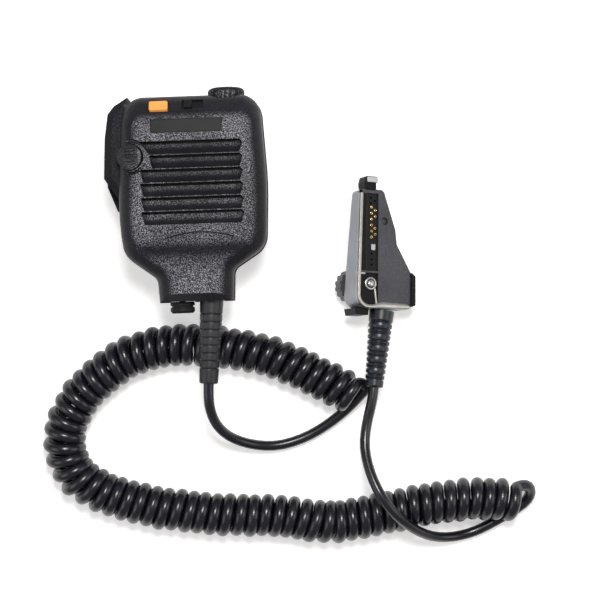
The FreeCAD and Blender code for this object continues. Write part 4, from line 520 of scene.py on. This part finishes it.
plugParts = {
    # plates: corners (x, y, radius), low, high and a slanted edge, 0.2 unless given
    # turned parts: profile (radius, height) about the screw
    "screwWell": {
        "corners": [(-5.2, -9.0, 4.4), (3.9, -9.0, 0.4), (3.9, 4.6, 0.4), (-5.0, 4.6, 0.5)],
        "low": -1.75, "high": -1.0, "slot": "smooth_plastic",
    },
    "frameBar": {
        "corners": [(-5.6, 3.5, 0.2), (-2.2, 3.5, 0.2), (-2.2, 4.5, 0.2), (-5.6, 4.5, 0.2)],
        "low": -1.6, "high": 0.05, "slot": "bright_metal",
    },
    "frameRib": {
        "corners": [(2.4, -8.6, 0.2), (3.3, -8.6, 0.2), (2.4, -1.6, 0.2), (1.6, -1.9, 0.2)],
        "low": -1.6, "high": 0.0, "slot": "bright_metal",
    },
    "screwRing": {
        "profile": [(1.75, -1.4), (1.75, 0.1), (1.9, 0.3), (2.25, 0.34), (2.5, 0.2), (2.55, -0.1),
                    (2.55, -1.4)],
        "slot": "bright_metal", "node": "screw_bush",
    },
    "screwTip": {
        "profile": [(0.05, -13.8), (1.9, -13.8), (1.9, -1.2), (1.3, -0.9), (1.3, 0.35), (1.1, 0.6),
                    (0.7, 0.75), (0.05, 0.8)],
        "caps": (0, -1), "slot": "pin_steel", "node": "thumb_screw_shank", "body": "thumb_screw",
    },
    "recessEdge": {
        "corners": [(-4.4, 4.9, 0.4), (-1.85, 4.9, 0.1), (-1.85, 36.2, 0.1), (-4.4, 36.2, 0.4)],
        "low": -0.5, "high": 0.04, "slot": "plug_face",
    },
    "hook": {
        "corners": [(-2.5, 37.4, 0.2), (2.2, 37.4, 0.2), (2.2, 40.2, 0.3), (2.8, 40.7, 0.3),
                    (2.8, 42.9, 0.5), (-2.3, 42.9, 0.5), (-2.9, 40.6, 0.3), (-2.9, 39.4, 0.3)],
        "low": -5.8, "high": 0.5, "edge": 0.35, "slot": "smooth_plastic", "node": "latch_hook",
    },
    "hookWear": {
        "corners": [(-1.9, 40.5, 0.2), (2.4, 40.5, 0.2), (2.5, 42.6, 0.4), (-2.0, 42.6, 0.4)],
        "low": 0.4, "high": 0.58, "edge": 0.08, "slot": "bright_metal",
    },
}


def makePlugPart(name, part):
    if "profile" in part:
        piece = newPiece(name, [plugSpace(turned(part["profile"]))], part["slot"],
                         caps=part.get("caps", ()), body=part.get("body", "microphone"))
    else:
        outline = roundedOutline(part["corners"], 6)
        edge = part.get("edge", 0.2)
        grid = [lift(outline, part["low"]), lift(outline, part["high"] - edge),
                lift(insetOutline(outline, edge), part["high"])]
        piece = newPiece(name, [plugSpace(np.array(grid))], part["slot"], caps=(0, -1), sharp=30)
    if "node" in part:
        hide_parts(part["node"])
    return piece


contacts = {
    "top": 30.6,                          # y of the first socket
    "pitch": 2.4,
    # x of each row, and where its sockets are, counted in pitches
    "rows": {0.6: (0, 1, 2, 3, 4, 5), 2.2: (0.5, 1.5, 3.5, 4.5)},
    "rim": [(0.26, -1.1), (0.30, -0.66), (0.42, -0.55), (0.56, -0.62), (0.62, -0.8), (0.62, -1.1)],
}


def makeContacts():
    # one gold socket after another: a small turned rim with a dark bore
    rim = turned(contacts["rim"], 20)
    rims = [plugSpace(rim + (x, contacts["top"] - contacts["pitch"] * step, 0))
            for x, row in contacts["rows"].items() for step in row]
    piece = newPiece("contacts", rims, "gold")
    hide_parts("contact_pins")
    return piece


def makePlug():
    pieces = [makePlugShell(), makeTrim()]
    pieces += [makePlugPart(name, part) for name, part in plugParts.items()]
    return pieces + [makeContacts()]


plugPieces = makePlug()
print("connector pieces:", len(plugPieces))

cordPiece = makeCord()


# shared shader groups


def newGroup(name, inputs, outputs):
    tree = bpy.data.node_groups.new(name, "ShaderNodeTree")
    for label, kind, value in inputs:
        socket = tree.interface.new_socket(name=label, in_out="INPUT", socket_type="NodeSocket" + kind)
        if value is not None:
            socket.default_value = value
    for label, kind in outputs:
        tree.interface.new_socket(name=label, in_out="OUTPUT", socket_type="NodeSocket" + kind)
    start = tree.nodes.new("NodeGroupInput")
    end = tree.nodes.new("NodeGroupOutput")
    return tree, start, end


def makeMoldGrain():
    # spark-eroded mould surface: rounded pits of uneven size, and a speck mask that the materials use for
    # painted highlight glints
    tree, start, end = newGroup("moldGrain", [("Vector", "Vector", None), ("Size", "Float", 0.0005)],
                                [("Height", "Float"), ("Speck", "Float")])
    scale = addMath(tree, "DIVIDE", 1.0, start.outputs["Size"])
    coarse = addNode(tree, "TexNoise", {"Vector": start.outputs["Vector"], "Scale": scale, "Detail": 2.0,
                                        "Roughness": 0.55})
    cells = addNode(tree, "TexVoronoi", {"Vector": start.outputs["Vector"],
                                         "Scale": addMath(tree, "MULTIPLY", scale, 0.9)})
    pits = addRange(tree, cells.outputs["Distance"], 0.05, 0.75)
    height = addMath(tree, "ADD", addMath(tree, "MULTIPLY", coarse.outputs[0], 0.75),
                     addMath(tree, "MULTIPLY", pits, 0.45))
    tree.links.new(height, end.inputs["Height"])
    tree.links.new(addRange(tree, coarse.outputs[0], 0.45, 0.68), end.inputs["Speck"])
    return tree


def makeEdgeRub():
    # where handling has polished the edges: the rounded normal leaves the true one there
    tree, start, end = newGroup(
        "edgeRub", [("Vector", "Vector", None), ("Radius", "Float", 0.0004), ("Amount", "Float", 1.0)],
        [("Mask", "Float"), ("Normal", "Vector")])
    soft = addNode(tree, "Bevel", {"Radius": start.outputs["Radius"]}, samples=4)
    true = addNode(tree, "NewGeometry")
    lined = addNode(tree, "VectorMath", {0: soft.outputs[0], 1: true.outputs["Normal"]},
                    operation="DOT_PRODUCT").outputs["Value"]
    edge = addRange(tree, lined, 0.985, 0.80)
    patch = addNode(tree, "TexNoise", {"Vector": start.outputs["Vector"], "Scale": 420.0, "Detail": 3.0})
    patches = addRange(tree, patch.outputs[0], 0.38, 0.62)
    mask = addMath(tree, "MULTIPLY", addMath(tree, "MULTIPLY", edge, patches), start.outputs["Amount"])
    tree.links.new(mask, end.inputs["Mask"])
    tree.links.new(soft.outputs[0], end.inputs["Normal"])
    return tree


def makeFineDust():
    # a thin uneven film and a few specks
    tree, start, end = newGroup("fineDust", [("Vector", "Vector", None), ("Amount", "Float", 0.3)],
                                [("Film", "Float"), ("Specks", "Float")])
    cloud = addNode(tree, "TexNoise", {"Vector": start.outputs["Vector"], "Scale": 55.0, "Detail": 5.0})
    patches = addRange(tree, cloud.outputs[0], 0.35, 0.75)
    film = addMath(tree, "MULTIPLY", patches, start.outputs["Amount"])
    grit = addNode(tree, "TexVoronoi", {"Vector": start.outputs["Vector"], "Scale": 520.0})
    specks = addMath(tree, "MULTIPLY", addRange(tree, grit.outputs["Distance"], 0.12, 0.04), film)
    tree.links.new(film, end.inputs["Film"])
    tree.links.new(specks, end.inputs["Specks"])
    return tree


def makeScuffs():
    # fine scratches in three directions, as stretched noise
    tree, start, end = newGroup("scuffs", [("Vector", "Vector", None), ("Amount", "Float", 0.5)],
                                [("Mask", "Float")])
    total = 0.0
    for turn, scale in ((0.4, 900.0), (1.7, 1300.0), (2.8, 700.0)):
        spun = addNode(tree, "Mapping", {"Vector": start.outputs["Vector"], "Rotation": (0.3, 0.2, turn),
                                         "Scale": (1.0, 0.03, 0.4)})
        lines = addNode(tree, "TexNoise", {"Vector": spun.outputs[0], "Scale": scale, "Detail": 1.0})
        total = addMath(tree, "ADD", total, addRange(tree, lines.outputs[0], 0.66, 0.74))
    mask = addMath(tree, "MULTIPLY", total, start.outputs["Amount"], clamp=True)
    tree.links.new(mask, end.inputs["Mask"])
    return tree


moldGrain = makeMoldGrain()
edgeRub = makeEdgeRub()
fineDust = makeFineDust()
scuffs = makeScuffs()
print("shader groups: moldGrain, edgeRub, fineDust, scuffs")


# materials


def addGroup(tree, group, inputs):
    node = tree.nodes.new("ShaderNodeGroup")
    node.node_tree = group
    for key, value in inputs.items():
        if isinstance(value, bpy.types.NodeSocket):
            tree.links.new(value, node.inputs[key])
        else:
            node.inputs[key].default_value = value
    return node


def newMaterial(name, look):
    # one moulded, rubber or metal finish: colour with drift, edge rub and dust, painted highlight specks
    # and painted shade, and a grained surface
    material = bpy.data.materials.new(name)
    material.use_nodes = True
    tree = material.node_tree
    tree.nodes.clear()
    spot = addNode(tree, "TexCoord").outputs["Object"]
    rub = addGroup(tree, edgeRub, {"Vector": spot, "Radius": look.get("rounding", 0.00025),
                                   "Amount": look.get("rub", 0.5)})
    grain = addGroup(tree, moldGrain, {"Vector": spot, "Size": look.get("grain", 0.0005)})
    dust = addGroup(tree, fineDust, {"Vector": spot, "Amount": look.get("dust", 0.3)})
    scratch = addGroup(tree, scuffs, {"Vector": spot, "Amount": look.get("scratches", 0.2)})
    drift = addNode(tree, "TexNoise", {"Vector": spot, "Scale": look.get("driftScale", 60.0),
                                       "Detail": 3.0})
    colour = blendColour(tree, addRange(tree, drift.outputs[0], 0.35, 0.65), (*look["colour"], 1),
                         (*look.get("second", tuple(c * 1.25 for c in look["colour"])), 1))
    # painted highlight: bright grain specks mixed into the colour where the surface faces the camera,
    # stronger in some patches, in place of the lamp's glints on the grain
    facing = addNode(tree, "LayerWeight", {"Blend": 0.5}).outputs["Facing"]
    glint = addRange(tree, facing, look.get("glintEnd", 0.30), 0.0, 0.05, 1.0)
    glint = addMath(tree, "MULTIPLY", glint, addRange(tree, drift.outputs[0], 0.3, 0.62, 0.6, 1.1))
    glint = addMath(tree, "MULTIPLY", glint, look.get("speck", 0.0))
    specks = addMath(tree, "MULTIPLY", grain.outputs["Speck"], glint)
    colour = blendColour(tree, specks, colour, (*look.get("glintColour", (0.3, 0.3, 0.31)), 1))
    colour = blendColour(tree, rub.outputs["Mask"], colour, (*look.get("rubbed", (0.10, 0.10, 0.105)), 1))
    grit = addMath(tree, "MULTIPLY", dust.outputs["Specks"], 0.6)
    colour = blendColour(tree, grit, colour, (0.4, 0.39, 0.37, 1))
    for middle in look.get("bars", []):
        # painted shade: a dark outline round each raised bar, inside the bar's box and outside the one a
        # line's width smaller
        apart = addNode(tree, "VectorMath", {0: spot, 1: (*middle, 0)}, operation="SUBTRACT").outputs[0]
        apart = addNode(tree, "VectorMath", {0: apart}, operation="ABSOLUTE").outputs[0]
        apart = addNode(tree, "SeparateXYZ", {0: apart}).outputs
        half, thin = look["barHalf"], look["barLine"]
        outer = [addMath(tree, "LESS_THAN", apart[k], half[k]) for k in (0, 1)]
        inner = [addMath(tree, "LESS_THAN", apart[k], half[k] - thin) for k in (0, 1)]
        whole, hollow = addMath(tree, "MULTIPLY", *outer), addMath(tree, "MULTIPLY", *inner)
        line = addMath(tree, "SUBTRACT", whole, hollow)
        colour = blendColour(tree, line, colour, (0.001, 0.001, 0.001, 1))
    if "shade" in look:
        # painted shade: the colour darkens towards near black in corners and hollows, where little light
        # reaches
        free = addNode(tree, "AmbientOcclusion", {"Distance": look["shade"]}, samples=6).outputs["AO"]
        colour = blendColour(tree, addRange(tree, free, 0.35, 0.95), (0.003, 0.003, 0.004, 1), colour)
    rough = addMath(tree, "ADD", look["rough"], addMath(tree, "MULTIPLY", dust.outputs["Film"], 0.25))
    uneven = addMath(tree, "MULTIPLY", drift.outputs[0], look.get("roughDrift", 0.06))
    rough = addMath(tree, "ADD", rough, uneven)
    polished = addMath(tree, "MULTIPLY", rub.outputs["Mask"], 0.12)
    rough = addMath(tree, "SUBTRACT", rough, polished, clamp=True)
    height = addMath(tree, "SUBTRACT", grain.outputs["Height"],
                     addMath(tree, "MULTIPLY", scratch.outputs["Mask"], 0.3))
    bump = addNode(tree, "Bump", {"Strength": 1.0, "Distance": look.get("bump", 0.00003),
                                  "Height": height, "Normal": rub.outputs["Normal"]})
    shader = addNode(tree, "BsdfPrincipled", {
        "Base Color": colour, "Roughness": rough, "Metallic": look.get("metal", 0.0),
        "Specular IOR Level": look.get("specular", 0.5), "Normal": bump.outputs[0]})
    addNode(tree, "OutputMaterial", {"Surface": shader.outputs[0]})
    return material


# the speck amount and its colour paint highlight specks where a face turns to the camera, shade paints
# shade into corners, and bars paint a shaded outline round the button's raised bars
looks = {
    "case_plastic": {"colour": (0.008, 0.008, 0.011), "rough": 0.42, "grain": 0.00036,
                     "bump": 0.00009, "speck": 0.95, "glintColour": (0.35, 0.35, 0.38),
                     "rub": 0.25, "dust": 0.2, "rounding": 0.0003, "shade": 0.0028,
                     "specular": 0.14, "glintEnd": 0.19, "driftScale": 38.0},
    "bar_plastic": {"colour": (0.003, 0.003, 0.006), "rough": 0.42, "grain": 0.0006,
                    "bump": 0.00006, "speck": 0.25, "glintColour": (0.10, 0.10, 0.12), "rub": 0.3,
                    "rounding": 0.0003, "specular": 0.10},
    "black_rubber": {"colour": (0.015, 0.015, 0.016), "rough": 0.62, "grain": 0.0003,
                     "bump": 0.00002},
    "orange_plastic": {"colour": (0.95, 0.40, 0.09), "second": (0.90, 0.35, 0.07), "rough": 0.38,
                       "grain": 0.0004, "bump": 0.000012, "rubbed": (1.0, 0.62, 0.30), "rub": 0.6},
    "smooth_plastic": {"colour": (0.010, 0.0105, 0.011), "rough": 0.45, "grain": 0.0006,
                       "bump": 0.000006, "scratches": 0.6, "specular": 0.15},
    "speaker_paper": {"colour": (0.05, 0.045, 0.04), "rough": 0.8, "grain": 0.0004,
                      "bump": 0.00004},
    "speaker_steel": {"colour": (0.42, 0.42, 0.43), "rough": 0.35, "metal": 1.0, "grain": 0.0004,
                      "bump": 0.00001},
    "board_green": {"colour": (0.02, 0.16, 0.07), "rough": 0.35, "grain": 0.0008, "bump": 0.00001},
    "socket_metal": {"colour": (0.55, 0.55, 0.56), "rough": 0.25, "metal": 1.0, "bump": 0.00001},
    "screw_steel": {"colour": (0.35, 0.35, 0.36), "rough": 0.32, "metal": 1.0, "bump": 0.00001,
                    "scratches": 0.7},
    "clip_steel": {"colour": (0.03, 0.03, 0.033), "rough": 0.42, "metal": 0.4, "grain": 0.0004,
                   "bump": 0.00002, "rubbed": (0.35, 0.35, 0.36), "rub": 0.9, "scratches": 0.5},
    "pin_steel": {"colour": (0.5, 0.5, 0.51), "rough": 0.28, "metal": 1.0, "bump": 0.000008},
    "spring_steel": {"colour": (0.45, 0.45, 0.46), "rough": 0.3, "metal": 1.0, "bump": 0.000008},
    "cord_jacket": {"colour": (0.005, 0.005, 0.009), "rough": 0.22, "grain": 0.0009,
                    "bump": 0.000012, "dust": 0.12, "rub": 0.0, "rounding": 0.0, "scratches": 0.15,
                    "roughDrift": 0.1, "specular": 0.55},
    "boot_rubber": {"colour": (0.010, 0.010, 0.013), "rough": 0.36, "grain": 0.0006,
                    "bump": 0.00001},
    "plug_boot_rubber": {"colour": (0.007, 0.009, 0.013), "rough": 0.30, "grain": 0.0008,
                         "bump": 0.00001},
    "plug_metal": {"colour": (0.25, 0.27, 0.30), "second": (0.30, 0.32, 0.345), "rough": 0.38,
                   "metal": 0.5, "grain": 0.0005, "bump": 0.00002, "rubbed": (0.6, 0.6, 0.61),
                   "rub": 0.8, "scratches": 0.4},
    "plug_face": {"colour": (0.045, 0.044, 0.052), "rough": 0.5, "grain": 0.0005, "bump": 0.00003,
                  "speck": 0.5, "glintColour": (0.13, 0.13, 0.145), "specular": 0.3,
                  "shade": 0.001},
    "bright_metal": {"colour": (0.42, 0.41, 0.39), "rough": 0.34, "metal": 1.0, "bump": 0.00001,
                     "scratches": 0.5},
    "gold": {"colour": (0.95, 0.66, 0.26), "rough": 0.22, "metal": 1.0, "bump": 0.000005},
    "deep_black": {"colour": (0.006, 0.006, 0.007), "rough": 0.45, "grain": 0.0005,
                   "bump": 0.00001, "specular": 0.15, "rub": 0.3},
    "button_plastic": {"colour": (0.008, 0.008, 0.011), "rough": 0.4, "grain": 0.0005,
                       "bump": 0.00006, "speck": 0.6, "glintColour": (0.25, 0.25, 0.28),
                       "shade": 0.0012, "specular": 0.3,
                       "bars": [(-0.0197, 0.0192), (-0.0197, 0.0168)], "barHalf": (0.0024, 0.0007),
                       "barLine": 0.0004},
    "worn_metal": {"colour": (0.45, 0.45, 0.46), "rough": 0.42, "metal": 0.7, "grain": 0.0004,
                   "bump": 0.00003, "scratches": 0.8},
    "knob_grey": {"colour": (0.055, 0.055, 0.058), "rough": 0.4, "metal": 0.2, "grain": 0.0004,
                  "bump": 0.00002, "rubbed": (0.5, 0.5, 0.5), "rub": 0.8},
}
# where a piece departs from its slot
ownLooks = {
    "screwWell": "deep_black", "recessEdge": "deep_black", "hook": "deep_black",
    "side_fin": "deep_black", "connector_foot": "deep_black",
    "hookWear": "worn_metal", "function_button": "button_plastic",
}
materials = {slot: newMaterial(slot, look) for slot, look in looks.items()}
for node in nodes.values():
    for slot in node.material_slots:
        slot.material = materials[ownLooks.get(node.name, slot.material.name.split(".")[0])]
for piece in [cordPiece] + bootPieces + plugPieces:
    piece.data.materials.append(materials[ownLooks.get(piece.name, piece["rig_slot"])])
print("materials:", len(materials))


# bring the scene up to date

bpy.context.view_layer.update()
